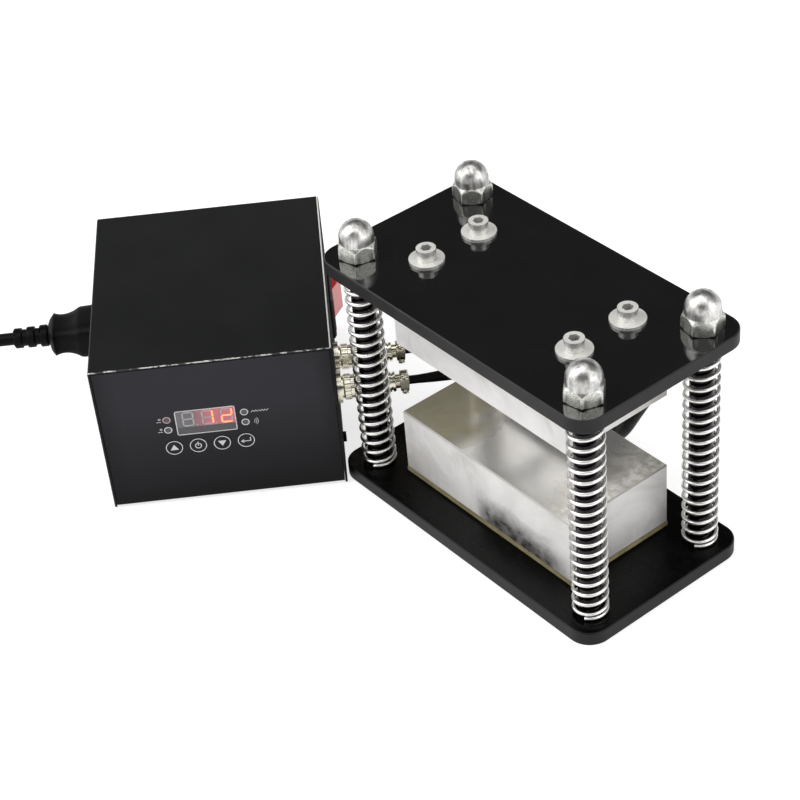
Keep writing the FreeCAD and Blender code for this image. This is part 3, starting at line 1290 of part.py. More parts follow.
relief_points[1] = ("relief_diameter / 2 + relief_rib", "0")
relief_points[-1] = ("relief_diameter / 2", "-relief_length")
relief_points.append(("0", "-relief_length"))
relief = revolve("connector_relief", relief_points)
relief.Placement = FreeCAD.Placement(V(), AXES["x"])
place(relief, f"{inlet_x} - connector_grip_length", "inlet_y", "socket_z")
keep(joined("mains_connector", [grip, nose, relief]), in_case=True)

# Mains cord down to the table, its stored coil and the wall plug

case_place = case_placement()
cord = size("mains_diameter")
cord_z = size("table_gap") + cord / 2
step = math.radians(size("mains_bend_step"))
headings = [0, step, 2 * step, 3 * step, 2 * step, step, 0]
run = (size("socket_z") - cord_z) / sum(math.sin(heading) for heading in headings)
here = V(-size("case_width") - size("inlet_flange_thickness") - size("connector_grip_length")
         - size("relief_length"), size("inlet_y"), size("socket_z"))
mains_points = [here]
for heading in headings:
    here = here + V(-math.cos(heading), 0, -math.sin(heading)) * run
    mains_points.append(here)
mains_points = [case_place.multVec(point) for point in mains_points]
keep_shape("mains_cord", tube("mains cord", mains_points, cord))

coil_radius = size("mains_coil_radius")
coil_step = size("mains_coil_step")
layer_turns = size("mains_coil_turns")
coil_middle = V(here.x - cord, here.y - coil_radius, 0)


def coil_point(turn):
    """Two layers: inwards on the table, a half turn up, and outwards on top."""
    near = layer_turns - turn
    inward = abs(near) if abs(near) > 0.25 else (near * near / 0.5 + 0.125)
    radius = coil_radius - coil_step * (layer_turns - inward)
    climb = min(1.0, max(0.0, turn - layer_turns + 0.25) / 0.5)
    height = cord_z + coil_step * climb * climb * (3 - 2 * climb)
    angle = math.pi / 2 + 2 * math.pi * turn
    return coil_middle + V(radius * math.cos(angle), radius * math.sin(angle), height)


def coil_way(turn):
    total = 2 * layer_turns
    if turn < 0.001 or turn > total - 0.001:
        angle = math.pi / 2 + 2 * math.pi * turn
        return V(-math.sin(angle), math.cos(angle), 0)
    way = coil_point(turn + 0.002) - coil_point(turn - 0.002)
    return way.normalize()


COIL_TAIL = 4.0
coil_path = wound_path(coil_point, coil_way, 2 * layer_turns, cord, COIL_TAIL)
first_way = coil_way(0)
coil = pipe_solid(coil_path, ring_profile(coil_point(0) - first_way * cord, first_way, cord, TUBE_SIDES))
coil_gap = least_gap(coil_point, 2 * layer_turns, cord)
print(f"mains coil: {coil_path.Length:.0f} mm, least gap to itself {coil_gap:.2f} mm")
keep_shape("mains_cord_coil", coil, case_placement())

coil_end = coil_point(2 * layer_turns) + coil_way(2 * layer_turns) * cord * COIL_TAIL
PLUG_Y = f"{coil_end.y:.3f}"
PLUG_Z = "(table_gap + mains_diameter / 2 + mains_coil_step)"
PLUG_HEIGHT = f"2 * ({PLUG_Z} - table_gap)"


def plug_at(share, width, height, corner):
    return (f"{coil_end.x:.3f} + wall_plug_length * {share}", width, height, corner)


plug = lofted("wall_plug_body", [
    plug_at(0, "1.5 * mains_diameter", "1.5 * mains_diameter", "mains_diameter / 4"),
    plug_at(0.35, "1.7 * mains_diameter", "1.7 * mains_diameter", "mains_diameter / 4"),
    plug_at(0.5, "wall_plug_width", PLUG_HEIGHT, "wall_plug_corner"),
    plug_at(0.9, "wall_plug_width", PLUG_HEIGHT, "wall_plug_corner"),
    plug_at(1, "wall_plug_width - 2", f"{PLUG_HEIGHT} - 2", "wall_plug_corner"),
], PLUG_Y, PLUG_Z)
plug_face = f"{coil_end.x:.3f} + wall_plug_length"
blades = [block(f"blade_{side}", "blade_length", "blade_thickness", "blade_width",
                f"{plug_face} + blade_length / 2", f"{PLUG_Y} {sign} blade_pitch / 2",
                f"{PLUG_Z} - blade_width / 2 + 2") for side, sign in (("left", "+"), ("right", "-"))]
earth = cylinder("earth_pin", "earth_pin_diameter", "blade_length + 2", plug_face, PLUG_Y,
                 f"{PLUG_Z} - earth_pin_drop", "x")
keep(joined("mains_plug", [plug] + blades + [earth]), in_case=True)


# Checks and export


def check(obj):
    bad = [state for state in obj.State if state in ("Invalid", "Error")]
    if bad:
        raise ValueError(f"{obj.Label} is {bad}")


doc.recompute()
for obj in doc.Objects:
    check(obj)
os.makedirs("parts", exist_ok=True)
for node in NODES:
    if node.Shape.isNull() or not node.Shape.isValid():
        raise ValueError(f"{node.Label} has no valid shape")
    if not node.Shape.Solids:
        raise ValueError(f"{node.Label} holds no solid")
    node.Shape.exportStep(f"parts/{node.Label}.step")
    box = node.Shape.BoundBox
    print(f"{node.Label}: {len(node.Shape.Solids)} solids, {node.Shape.Volume:.1f} mm3, "
          f"{box.XMin:.2f}..{box.XMax:.2f} {box.YMin:.2f}..{box.YMax:.2f} {box.ZMin:.2f}..{box.ZMax:.2f}")
print(len(NODES), "nodes")
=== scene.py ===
import json
import math
import bmesh
import bpy
from mathutils import Matrix, Vector


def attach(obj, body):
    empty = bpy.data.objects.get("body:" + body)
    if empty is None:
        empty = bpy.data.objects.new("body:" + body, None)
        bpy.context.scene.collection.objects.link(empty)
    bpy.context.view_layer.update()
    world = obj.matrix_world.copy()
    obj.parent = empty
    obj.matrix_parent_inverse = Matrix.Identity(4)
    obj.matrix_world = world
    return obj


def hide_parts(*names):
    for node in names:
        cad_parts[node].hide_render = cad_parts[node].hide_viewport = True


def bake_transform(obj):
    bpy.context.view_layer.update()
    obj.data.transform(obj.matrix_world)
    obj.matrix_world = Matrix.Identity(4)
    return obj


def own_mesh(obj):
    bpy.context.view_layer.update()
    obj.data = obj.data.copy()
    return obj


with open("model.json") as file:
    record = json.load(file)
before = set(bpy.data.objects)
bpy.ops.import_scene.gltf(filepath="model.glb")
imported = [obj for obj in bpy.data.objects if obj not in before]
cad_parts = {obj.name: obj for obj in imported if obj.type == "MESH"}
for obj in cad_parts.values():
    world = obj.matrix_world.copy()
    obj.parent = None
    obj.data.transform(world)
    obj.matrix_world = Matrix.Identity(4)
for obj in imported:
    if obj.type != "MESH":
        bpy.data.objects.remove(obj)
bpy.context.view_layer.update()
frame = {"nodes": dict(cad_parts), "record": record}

MM = 0.001
PLATE_THICKNESS = 8.0
PLATE_GAP = 122.0
PLATEN_TOP = 2 * PLATE_THICKNESS + PLATE_GAP
ROD_PLACES = {"front_left": (-81.5, -37.5), "front_right": (81.5, -37.5),
              "back_left": (-81.5, 37.5), "back_right": (81.5, 37.5)}
CASE_CORNER = Vector((-85.29, -57.28, 0)) * MM
CASE_TURN = math.radians(55.15)
CASE_OUT = Vector((math.cos(CASE_TURN), math.sin(CASE_TURN), 0))
CASE_BACK = Vector((-math.sin(CASE_TURN), math.cos(CASE_TURN), 0))
UP = Vector((0, 0, 1))


def at(x, y, z):
    """A point in the press's own directions, from millimetres."""
    return Vector((x, y, z)) * MM


def at_case(x, y, z):
    """A point of the control box, from millimetres outward, backward and up from its front right corner."""
    return CASE_CORNER + (CASE_OUT * x + CASE_BACK * y + UP * z) * MM


# Camera


def add_camera():
    """The photograph's camera; lift, side and roll are its angles in radians."""
    lift, side, roll = 0.67638, 0.92395, -0.08509
    back = Vector((math.sin(side) * math.cos(lift), -math.cos(side) * math.cos(lift), math.sin(lift)))
    right = UP.cross(back).normalized()
    above = back.cross(right)
    across = right * math.cos(roll) + above * math.sin(roll)
    upward = above * math.cos(roll) - right * math.sin(roll)
    aim, distance = at(-16.474, -48.102, 60.0), 1.043864
    data = bpy.data.cameras.new("camera")
    data.sensor_width = 36.0
    data.lens = 94.68
    data.shift_x = -0.0461
    data.shift_y = 0.0567
    data.clip_start = 0.05
    camera = bpy.data.objects.new("camera", data)
    turn = Matrix((across, upward, back)).transposed()
    camera.matrix_world = Matrix.Translation(aim + back * distance) @ turn.to_4x4()
    bpy.context.scene.collection.objects.link(camera)
    bpy.context.scene.camera = camera


add_camera()

# Shapes


def link(name, data):
    obj = bpy.data.objects.new(name, data)
    bpy.context.scene.collection.objects.link(obj)
    return obj


def mesh_piece(name, points, faces, smooth=False):
    mesh = bpy.data.meshes.new(name)
    mesh.from_pydata([tuple(point) for point in points], [], faces)
    mesh.validate()
    mesh.update()
    for polygon in mesh.polygons:
        polygon.use_smooth = smooth
    return link(name, mesh)


def ring_faces(rings, sides):
    """Quads between successive rings of points."""
    faces = []
    for low in range(0, (rings - 1) * sides, sides):
        for side in range(sides):
            after = (side + 1) % sides
            faces.append((low + side, low + after, low + sides + after, low + sides + side))
    return faces


def end_faces(rings, sides):
    """Flat ends on the first and the last ring."""
    return [tuple(range(sides))[::-1], tuple(range((rings - 1) * sides, rings * sides))]


def tube_mesh(name, path, radius, sides=12, taper=None):
    """A round tube along a path, with closed ends; taper gives the radius's share at each point."""
    count = len(path)
    ways = [(path[min(i + 1, count - 1)] - path[max(i - 1, 0)]).normalized() for i in range(count)]
    across = ways[0].orthogonal().normalized()
    points = []
    for index, (place, way) in enumerate(zip(path, ways)):
        across = (across - way * across.dot(way)).normalized()
        along = way.cross(across)
        reach = radius * (taper[index] if taper else 1.0)
        for side in range(sides):
            angle = 2 * math.pi * side / sides
            points.append(place + (across * math.cos(angle) + along * math.sin(angle)) * reach)
    return mesh_piece(name, points, ring_faces(count, sides) + end_faces(count, sides), smooth=True)


def loft(stations, sides=48, relief=None):
    """Closed skin along the control box's outward direction; a station is x, half width, half height,
    squareness and middle (y, z); relief gives the share of a point's reach by x and angle."""
    points = []
    for x, half_width, half_height, power, (y, z) in stations:
        for side in range(sides):
            angle = 2 * math.pi * side / sides
            across, upward = math.cos(angle), math.sin(angle)
            reach = (abs(across) ** power + abs(upward) ** power) ** (-1 / power)
            if relief:
                reach *= relief(x, angle)
            points.append(at_case(x, y + half_width * across * reach, z + half_height * upward * reach))
    return points, ring_faces(len(stations), sides) + end_faces(len(stations), sides)


def merged_piece(name, shells, sharp=38.0):
    """One piece of several closed skins, smooth but for its sharp edges."""
    points, faces = [], []
    for shell_points, shell_faces in shells:
        first = len(points)
        points += shell_points
        faces += [tuple(first + corner for corner in face) for face in shell_faces]
    piece = mesh_piece(name, points, faces, smooth=True)
    mesh = bmesh.new()
    mesh.from_mesh(piece.data)
    bmesh.ops.recalc_face_normals(mesh, faces=mesh.faces)
    for edge in mesh.edges:
        edge.smooth = edge.calc_face_angle(0.0) < math.radians(sharp)
    mesh.to_mesh(piece.data)
    mesh.free()
    return piece


def spline_curve(name, points, diameter):
    """A smooth cord whose control points are the route's; each point carries the cord's radius."""
    curve = bpy.data.curves.new(name, "CURVE")
    curve.dimensions = "3D"
    curve.resolution_u = 12
    spline = curve.splines.new("NURBS")
    spline.points.add(len(points) - 1)
    for place, point in zip(spline.points, points):
        place.co = (*point, 1.0)
        place.radius = diameter / 2
    spline.order_u = 3
    spline.use_endpoint_u = True
    curve.bevel_depth = 1.0
    curve.bevel_resolution = 5
    curve.use_fill_caps = True
    return link(name, curve)


def spline_points(points):
    """Points along the smooth line of a route."""
    bare = spline_curve("bare_line", points, 0.0)
    bare.data.bevel_depth = 0.0
    mesh = bpy.data.meshes.new_from_object(bare)
    line = [vertex.co.copy() for vertex in mesh.vertices]
    bpy.data.meshes.remove(mesh)
    data = bare.data
    bpy.data.objects.remove(bare)
    bpy.data.curves.remove(data)
    return line


def line_length(line):
    return sum((after - before).length for before, after in zip(line, line[1:]))


# Cords

CABLE = 5.2 * MM
LEAD = 2.6 * MM
MAINS = 7.0 * MM
SOCKET_Z = 45.0
PLUG_PLACES = {"lower": 25, "upper": 52}
PLUG_REACH = 38.0
INLET_Y = 102.0
RELIEF_END = -175.8

LOWER_CABLE = [at_case(PLUG_REACH, 25, SOCKET_Z), at_case(PLUG_REACH + 12, 25, SOCKET_Z),
               at(-70.6, 12, 44.6), at(-67.9, 26, 43), at(-67.9, 40, 40.5), at(-67.9, 53, 40.5)]
UPPER_CABLE = [
    at_case(PLUG_REACH, 52, SOCKET_Z), at_case(PLUG_REACH + 12, 52, SOCKET_Z),
    at(-96.4, 25, 44), at(-97.4, 38, 39.5), at(-97, 50, 31), at(-91, 61, 22), at(-79, 68.5, 13),
    at(-60, 72, 6), at(-41, 72, 4.2), at(-26, 70.5, 4), at(-10, 69.3, 4.2), at(-2.5, 67.6, 14),
    at(5.5, 66.4, 28), at(13.5, 65.3, 41.5), at(21, 64.3, 54), at(24, 64, 65), at(24, 64, 76),
]
LOWER_LEADS = {
    "lower_left_lead": [
        at(-66, 65, 40.5), at(-66, 79, 40.5), at(-55, 91, 37), at(-38, 88, 33), at(-32, 72, 30.5),
        at(-32, 54, 29), at(-32, 36, 29)],
    "lower_right_lead": [
        at(-68.85, 65, 38.855), at(-68.85, 79, 38.855), at(-66, 91, 30), at(-52, 92, 20),
        at(-37, 82, 14.5), at(-24, 68, 13.5), at(-11, 56, 12), at(3, 52, 11), at(18, 52, 13),
        at(31, 52, 19), at(32, 47, 29), at(32, 36, 29)],
    "lower_probe_lead": [
        at(-68.85, 65, 42.145), at(-68.85, 79, 42.145), at(-64, 93, 40), at(-48, 100, 34),
        at(-31, 93, 29), at(-15, 75, 27), at(0, 58.5, 29), at(0, 47, 29)],
}
UPPER_LEADS = {
    "upper_right_lead": [at(25.9, 64, 88), at(25.9, 64, 108), at(32, 48, 109), at(32, 36, 109)],
    "upper_left_lead": [
        at(23.05, 65.645, 88), at(23.05, 65.645, 108), at(3, 69.5, 110), at(-16, 67, 110.5),
        at(-30, 58, 110), at(-32, 47, 109), at(-32, 36, 109)],
    "upper_probe_lead": [
        at(23.05, 62.355, 88), at(23.05, 62.355, 108), at(7, 64.5, 109.5), at(0, 58, 109),
        at(0, 47, 109)],
}


def loose_sleeve(name, points, thin, wide, start, stop):
    """A cable in a sleeve that widens between two shares of its length; gives the piece and its line."""
    path = spline_points(points)
    last = len(path) - 1
    steps = [min(1.0, max(0.0, (index / last - start) / (stop - start))) for index in range(last + 1)]
    widths = [thin + (wide - thin) * step for step in steps]
    return tube_mesh(name, path, CABLE / 2, sides=18, taper=widths), path


def add_heater_cables():
    lower, path = loose_sleeve("lower_heater_cable_jacket", LOWER_CABLE, 0.9, 1.45, 0.05, 0.4)
    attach(lower, "base")
    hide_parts("lower_heater_cable")
    upper, path = loose_sleeve("upper_heater_cable_jacket", UPPER_CABLE, 0.8, 1.45, 0.4, 0.6)
    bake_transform(upper)
    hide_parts("upper_heater_cable")
    return [lower, upper]


def add_leads():
    """The three sleeved leads of each block, in one pair of nodes; the first of each stands for its node."""
    made = []
    for level, leads, body in (("lower", LOWER_LEADS, "base"), ("upper", UPPER_LEADS, "platen")):
        for index, (name, points) in enumerate(leads.items()):
            lead = spline_curve(name, points, LEAD)
            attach(lead, body)
            if index == 0:
                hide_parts(f"{level}_heater_leads")
            line_length(spline_points(points))
            made.append(lead)
    return made


def mains_points():
    """Down from the strain relief to the table, then the stored coil and the plug's end."""
    headings = [math.radians(angle) for angle in (0, 20.5, 41, 61.5, 41, 20.5, 0)]
    cord_z = 0.3 + 3.5
    coil, tail = 44.0, 14.0
    run = (SOCKET_Z - cord_z) / sum(math.sin(heading) for heading in headings)
    x, z = -180.5, SOCKET_Z
    points = [at_case(RELIEF_END, INLET_Y, z), at_case(x, INLET_Y, z)]
    for heading in headings:
        x -= math.cos(heading) * run
        z -= math.sin(heading) * run
        points.append(at_case(x, INLET_Y, z))
    middle_x, middle_y = x - 7.0, INLET_Y - coil
    layer, step = 2.25, 7.6
    count = 72
    for index in range(count + 1):
        turn = 2 * layer * index / count
        near = layer - turn
        inward = abs(near) if abs(near) > 0.25 else near * near / 0.5 + 0.125
        radius = coil - step * (layer - inward)
        climb = min(1.0, max(0.0, turn - layer + 0.25) / 0.5)
        height = cord_z + step * climb * climb * (3 - 2 * climb)
        angle = math.pi / 2 + 2 * math.pi * turn
        points.append(at_case(middle_x + radius * math.cos(angle), middle_y + radius * math.sin(angle),
                              height))
    for _ in range(2):
        points.append(points[-1] + CASE_OUT * tail * MM)
    return points


def add_mains_cord():
    points = mains_points()
    cord = spline_curve("mains_cord_jacket", points, MAINS)
    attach(cord, "base")
    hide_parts("mains_cord", "mains_cord_coil")
    return cord


jackets = add_heater_cables()
leads = add_leads()
mains = add_mains_cord()

# Materials


class Finish:
    """A node material with helpers for its textures, all in the row frame's coordinates."""

    def __init__(self, name, **sockets):
        self.material = bpy.data.materials.new(name)
        self.material.use_nodes = True
        self.tree = self.material.node_tree
        self.shader = self.tree.nodes["Principled BSDF"]
        self.place = self.tree.nodes.new("ShaderNodeTexCoord").outputs["Object"]
        for socket, value in sockets.items():
            self.shader.inputs[socket.replace("_", " ")].default_value = value

    def join(self, source, target):
        self.tree.links.new(source, target)

    def feed(self, socket, value):
        """Puts a number, a colour or another node's output on a socket."""
        if isinstance(value, bpy.types.NodeSocket):
            self.join(value, socket)
        elif isinstance(value, (tuple, list)) and len(value) == 3 and socket.type == "RGBA":
            socket.default_value = (*value, 1.0)
        else:
            socket.default_value = value

    def stretched(self, x, y, z, turn=0.0):
        node = self.tree.nodes.new("ShaderNodeMapping")
        self.join(self.place, node.inputs["Vector"])
        node.inputs["Rotation"].default_value = (0, 0, turn)
        node.inputs["Scale"].default_value = (x, y, z)
        return node.outputs["Vector"]

    def noise(self, scale, detail, rough=0.5, vector=None, bend=0.0):
        node = self.tree.nodes.new("ShaderNodeTexNoise")
        self.join(vector or self.place, node.inputs["Vector"])
        node.inputs["Scale"].default_value = scale
        node.inputs["Detail"].default_value = detail
        node.inputs["Roughness"].default_value = rough
        node.inputs["Distortion"].default_value = bend
        return node.outputs["Fac"]

    def cells(self, scale, vector=None):
        node = self.tree.nodes.new("ShaderNodeTexVoronoi")
        self.join(vector or self.place, node.inputs["Vector"])
        node.inputs["Scale"].default_value = scale
        return node.outputs["Distance"]

    def ramp(self, value, stops):
        """Blends between numbers or colours at the given positions of a value."""
        node = self.tree.nodes.new("ShaderNodeValToRGB")
        self.join(value, node.inputs["Fac"])
        elements = node.color_ramp.elements
        while len(elements) < len(stops):
            elements.new(0.5)
        for element, (position, shade) in zip(elements, stops):
            element.position = position
            colour = shade if isinstance(shade, (tuple, list)) else (shade, shade, shade)
            element.color = (*colour, 1.0)
        return node.outputs["Color"]

    def maths(self, kind, first, second=0.0):
        node = self.tree.nodes.new("ShaderNodeMath")
        node.operation = kind
        self.feed(node.inputs[0], first)
        self.feed(node.inputs[1], second)
        return node.outputs[0]

    def mix(self, share, first, second):
        node = self.tree.nodes.new("ShaderNodeMix")
        node.data_type = "RGBA"
        self.feed(node.inputs["Factor"], share)
        self.feed(node.inputs[6], first)
        self.feed(node.inputs[7], second)
        return node.outputs[2]

    def parts(self, vector):
        node = self.tree.nodes.new("ShaderNodeSeparateXYZ")
        self.join(vector, node.inputs[0])
        return node.outputs

    def facing_up(self, low=0.7, high=0.9):
        """1 on faces that look up or down, 0 on upright ones."""
        node = self.tree.nodes.new("ShaderNodeNewGeometry")
        lift = self.maths("ABSOLUTE", self.parts(node.outputs["Normal"])[2])
        return self.ramp(lift, [(low, 0.0), (high, 1.0)])

    def case_parts(self):
        """Outward, backward and upward from the control box's front right corner."""
        node = self.tree.nodes.new("ShaderNodeMapping")
        node.vector_type = "TEXTURE"
        self.join(self.place, node.inputs["Vector"])
        node.inputs["Location"].default_value = CASE_CORNER
        node.inputs["Rotation"].default_value = (0, 0, CASE_TURN)
        return self.parts(node.outputs["Vector"])

    def between(self, value, low, high):
        """Rises from 0 at the low value to 1 at the high one."""
        node = self.tree.nodes.new("ShaderNodeMapRange")
        self.join(value, node.inputs["Value"])
        node.inputs["From Min"].default_value = low
        node.inputs["From Max"].default_value = high
        return node.outputs["Result"]

    def colour(self, value):
        self.feed(self.shader.inputs["Base Color"], value)

    def roughness(self, value):
        self.feed(self.shader.inputs["Roughness"], value)

    def bump(self, height, strength, distance):
        node = self.tree.nodes.new("ShaderNodeBump")
        node.inputs["Strength"].default_value = strength
        node.inputs["Distance"].default_value = distance
        self.join(height, node.inputs["Height"])
        self.join(node.outputs["Normal"], self.shader.inputs["Normal"])


def black_plate(name, mirror, side, gloss_low, gloss_high):
    """Black gloss paint with dust and smudges; mirror and side are how pale its faces and edges are."""
    f = Finish(name, Specular_IOR_Level=0.25)
    up = f.facing_up()
    cloud = f.noise(22, 5, 0.6)
    specks = f.ramp(f.cells(420), [(0.02, 1.0), (0.055, 0.0)])
    rare = f.ramp(f.noise(60, 2), [(0.56, 0.0), (0.62, 1.0)])
    dust = f.maths("MULTIPLY", specks, rare)
    face = f.ramp(cloud, [(0.3, [mirror * 0.9] * 3), (0.75, [mirror * 1.1] * 3)])
    edge = f.ramp(f.noise(90, 4), [(0.3, (side, side * 0.93, side * 0.98)),
                                   (0.7, (side * 1.7, side * 1.55, side * 1.65))])
    f.colour(f.mix(up, edge, f.mix(dust, face, (0.5, 0.5, 0.5))))
    f.feed(f.shader.inputs["Metallic"], f.ramp(up, [(0.0, 0.0), (1.0, 0.96)]))
    smudge = f.noise(30, 4, 0.6, f.stretched(1.0, 2.2, 1.0, 0.5), 0.6)
    gloss = f.ramp(smudge, [(0.42, gloss_low), (0.62, gloss_high), (0.70, gloss_high + 0.05)])
    f.roughness(f.mix(up, f.ramp(cloud, [(0.3, 0.4), (0.7, 0.5)]), gloss))
    f.bump(f.noise(900, 2), 0.05, 0.00005)
    return f.material


def insulation_board():
    f = Finish("insulation_board", Specular_IOR_Level=0.3)
    flakes = f.cells(700, f.stretched(1, 1, 3))
    cloud = f.noise(120, 4)
    tone = f.ramp(cloud, [(0.3, (0.20, 0.165, 0.08)), (0.7, (0.33, 0.285, 0.155))])
    f.colour(f.mix(f.ramp(flakes, [(0.2, 0.35), (0.6, 0.0)]), tone, (0.42, 0.37, 0.25)))
    f.roughness(0.75)
    f.bump(flakes, 0.25, 0.0001)
    return f.material


def block_sides(f, cloud, fine):
    """Pale cloudy sides, with a sooty smudge low at the front and grime on the right end."""
    along, across, height = f.parts(f.place)
    side = f.ramp(cloud, [(0.3, (0.66, 0.635, 0.61)), (0.46, (0.88, 0.86, 0.84)),
                          (0.62, (1.0, 0.985, 0.97))])
    grimy = f.maths("MULTIPLY", f.between(along, 0.0625, 0.0632), f.between(height, 0.040, 0.012))
    side = f.mix(f.maths("MULTIPLY", grimy, f.between(across, 0.012, -0.030)), side, (0.34, 0.32, 0.29))
    reach = f.maths("MULTIPLY", f.between(along, -0.008, 0.001), f.between(along, 0.070, 0.046))
    low = f.between(f.maths("ADD", height, f.maths("MULTIPLY", cloud, 0.018)), 0.040, 0.026)
    smudge = f.maths("MULTIPLY", f.maths("MULTIPLY", reach, low), f.ramp(fine, [(0.35, 1.0), (0.65, 0.72)]))
    return f.mix(smudge, side, (0.028, 0.027, 0.022))


def block_faces(f, cloud, fine):
    """The pressing faces' colour and their metallic share; the lower one is olive left, a painted reflection
    of the dark parts above it, and brown right, a stain.
    """
    along, _, height = f.parts(f.place)
    clean = f.ramp(cloud, [(0.3, (0.90, 0.885, 0.86)), (0.6, (0.97, 0.96, 0.945))])
    olive = f.ramp(cloud, [(0.3, (0.40, 0.37, 0.25)), (0.7, (0.62, 0.58, 0.44))])
    brown = f.ramp(fine, [(0.35, (0.62, 0.59, 0.52)), (0.6, (1.0, 0.98, 0.95))])
    wander = f.maths("MULTIPLY", f.maths("SUBTRACT", cloud, 0.5), 0.05)
    place = f.maths("ADD", along, wander)
    # The olive left end is a painted reflection of the dark parts above the face; the brown right end is a
    # stain.
    left, right = f.between(place, -0.020, -0.032), f.between(place, 0.036, 0.050)
    lower = f.maths("LESS_THAN", height, 0.06)
    reflection_and_stain = f.maths("MULTIPLY", f.maths("MAXIMUM", left, right), lower)
    face = f.mix(reflection_and_stain, clean, f.mix(right, olive, brown))
    polish = f.mix(reflection_and_stain, (0.80, 0.80, 0.80), f.mix(right, (0.36, 0.36, 0.36), (0.15, 0.15, 0.15)))
    return face, polish


def block_aluminium():
    """Milled aluminium: pale smudged sides, and smooth pressing faces, the lower one with a painted dark
    reflection at its left end and a stain at its right end.
    """
    f = Finish("block_milled")
    up = f.facing_up(0.9, 0.97)
    # The chamfered edges get a darker grey: painted shade on faces that catch the key light.
    edge = f.maths("MULTIPLY", f.facing_up(0.3, 0.5), f.maths("SUBTRACT", 1.0, up))
    cloud = f.noise(24, 6, 0.62, bend=0.7)
    fine = f.noise(230, 4, 0.6)
    face, polish = block_faces(f, cloud, fine)
    f.colour(f.mix(edge, f.mix(up, block_sides(f, cloud, fine), face), (0.42, 0.41, 0.39)))
    f.feed(f.shader.inputs["Metallic"], f.mix(up, (0.2, 0.2, 0.2), polish))
    brush = f.noise(55, 3, 0.6, f.stretched(1.2, 1.2, 34.0), 0.1)
    f.roughness(f.mix(up, f.ramp(brush, [(0.35, 0.34), (0.65, 0.46)]),
                      f.ramp(cloud, [(0.3, 0.17), (0.7, 0.11)])))
    f.bump(f.maths("ADD", f.maths("MULTIPLY", brush, 0.6), f.maths("MULTIPLY", fine, 0.5)), 0.08, 0.00003)
    return f.material


def bright_metal(name, low, high, rough_low, rough_high, scale=160, bump=0.04):
    """Plated steel with a cloudy, finely brushed look."""
    f = Finish(name, Metallic=1.0)
    cloud = f.noise(scale, 5, 0.65, bend=0.3)
    f.colour(f.ramp(cloud, [(0.3, low), (0.7, high)]))
    f.roughness(f.ramp(f.noise(scale * 2.5, 4), [(0.3, rough_low), (0.7, rough_high)]))
    f.bump(f.noise(scale * 6, 3), bump, 0.00004)
    return f.material


def nut_metal():
    """Plated dome nuts: satin above, with streaks down the dome, and cast grain on the hexagon's sides."""
    f = Finish("nut_plate", Metallic=1.0)
    height = f.parts(f.place)[2]
    upright = f.maths("SUBTRACT", 1.0, f.facing_up(0.2, 0.4))
    cast = f.maths("MULTIPLY", f.between(height, 0.1466, 0.1460), upright)
    streaks = f.noise(330, 4, 0.65, f.stretched(1.0, 1.0, 0.16), 0.4)
    cloud = f.noise(260, 4, 0.65)
    tone = f.maths("ADD", f.maths("MULTIPLY", streaks, 0.6), f.maths("MULTIPLY", cloud, 0.4))
    dome = f.ramp(tone, [(0.38, (0.28, 0.275, 0.265)), (0.5, (0.55, 0.545, 0.53)),
                         (0.6, (0.80, 0.795, 0.78))])
    grain = f.noise(1500, 3, 0.7)
    sides = f.ramp(grain, [(0.32, (0.36, 0.36, 0.33)), (0.5, (0.66, 0.66, 0.61)), (0.66, (1.0, 1.0, 0.95))])
    f.colour(f.mix(cast, dome, sides))
    f.roughness(f.mix(cast, f.ramp(cloud, [(0.3, 0.42), (0.7, 0.28)]),
                      f.ramp(grain, [(0.3, 0.40), (0.7, 0.26)])))
    waves = f.maths("MULTIPLY", f.maths("ADD", streaks, cloud), 1.5)
    f.bump(f.mix(cast, waves, f.maths("MULTIPLY", grain, 1.3)), 0.5, 0.00014)
    return f.material


def screw_zinc():
    """Dull zinc plate, palest on the flat faces of heads and washers, with painted shade on the floors of the
    hexagon sockets.
    """
    f = Finish("screw_zinc", Metallic=0.6)
    up = f.facing_up(0.85, 0.97)
    height = f.parts(f.place)[2]
    # The socket floors are painted dark: painted shade in the recesses.
    socket = f.maths("MULTIPLY", f.between(height, 0.1416, 0.1420), f.between(height, 0.1440, 0.1430))
    cloud = f.noise(170, 5, 0.65, bend=0.3)
    round_side = f.ramp(cloud, [(0.3, (0.52, 0.515, 0.50)), (0.7, (0.82, 0.81, 0.79))])
    flat = f.ramp(cloud, [(0.3, (0.80, 0.79, 0.74)), (0.7, (0.95, 0.94, 0.90))])
    f.colour(f.mix(up, round_side, f.mix(socket, flat, (0.16, 0.155, 0.15))))
    fine = f.noise(700, 4)
    f.roughness(f.mix(up, f.ramp(fine, [(0.3, 0.2), (0.7, 0.3)]), f.ramp(fine, [(0.3, 0.46), (0.7, 0.6)])))
    f.bump(fine, 0.06, 0.00005)
    return f.material


def rubber(name, shade, rough, grain=1800, strength=0.08):
    f = Finish(name, Specular_IOR_Level=0.1)
    cloud = f.noise(70, 4)
    f.colour(f.ramp(cloud, [(0.3, [part * 0.8 for part in shade]), (0.7, [part * 1.25 for part in shade])]))
    f.roughness(f.ramp(f.noise(300, 3), [(0.3, rough - 0.05), (0.7, rough + 0.07)]))
    f.bump(f.noise(grain, 2), strength, 0.00005)
    return f.material


def woven_sleeve():
    f = Finish("lead_sleeve_weave", Specular_IOR_Level=0.3)
    waves = []
    for turn in (0.7, -0.7):
        wave = f.tree.nodes.new("ShaderNodeTexWave")
        f.join(f.stretched(1, 1, 1, turn), wave.inputs["Vector"])
        wave.inputs["Scale"].default_value = 420
        waves.append(wave.outputs["Fac"])
    weave = f.maths("MULTIPLY", *waves)
    f.colour(f.ramp(weave, [(0.0, (0.26, 0.22, 0.15)), (0.6, (0.52, 0.47, 0.37))]))
    f.roughness(0.85)
    f.bump(weave, 0.5, 0.0001)
    return f.material


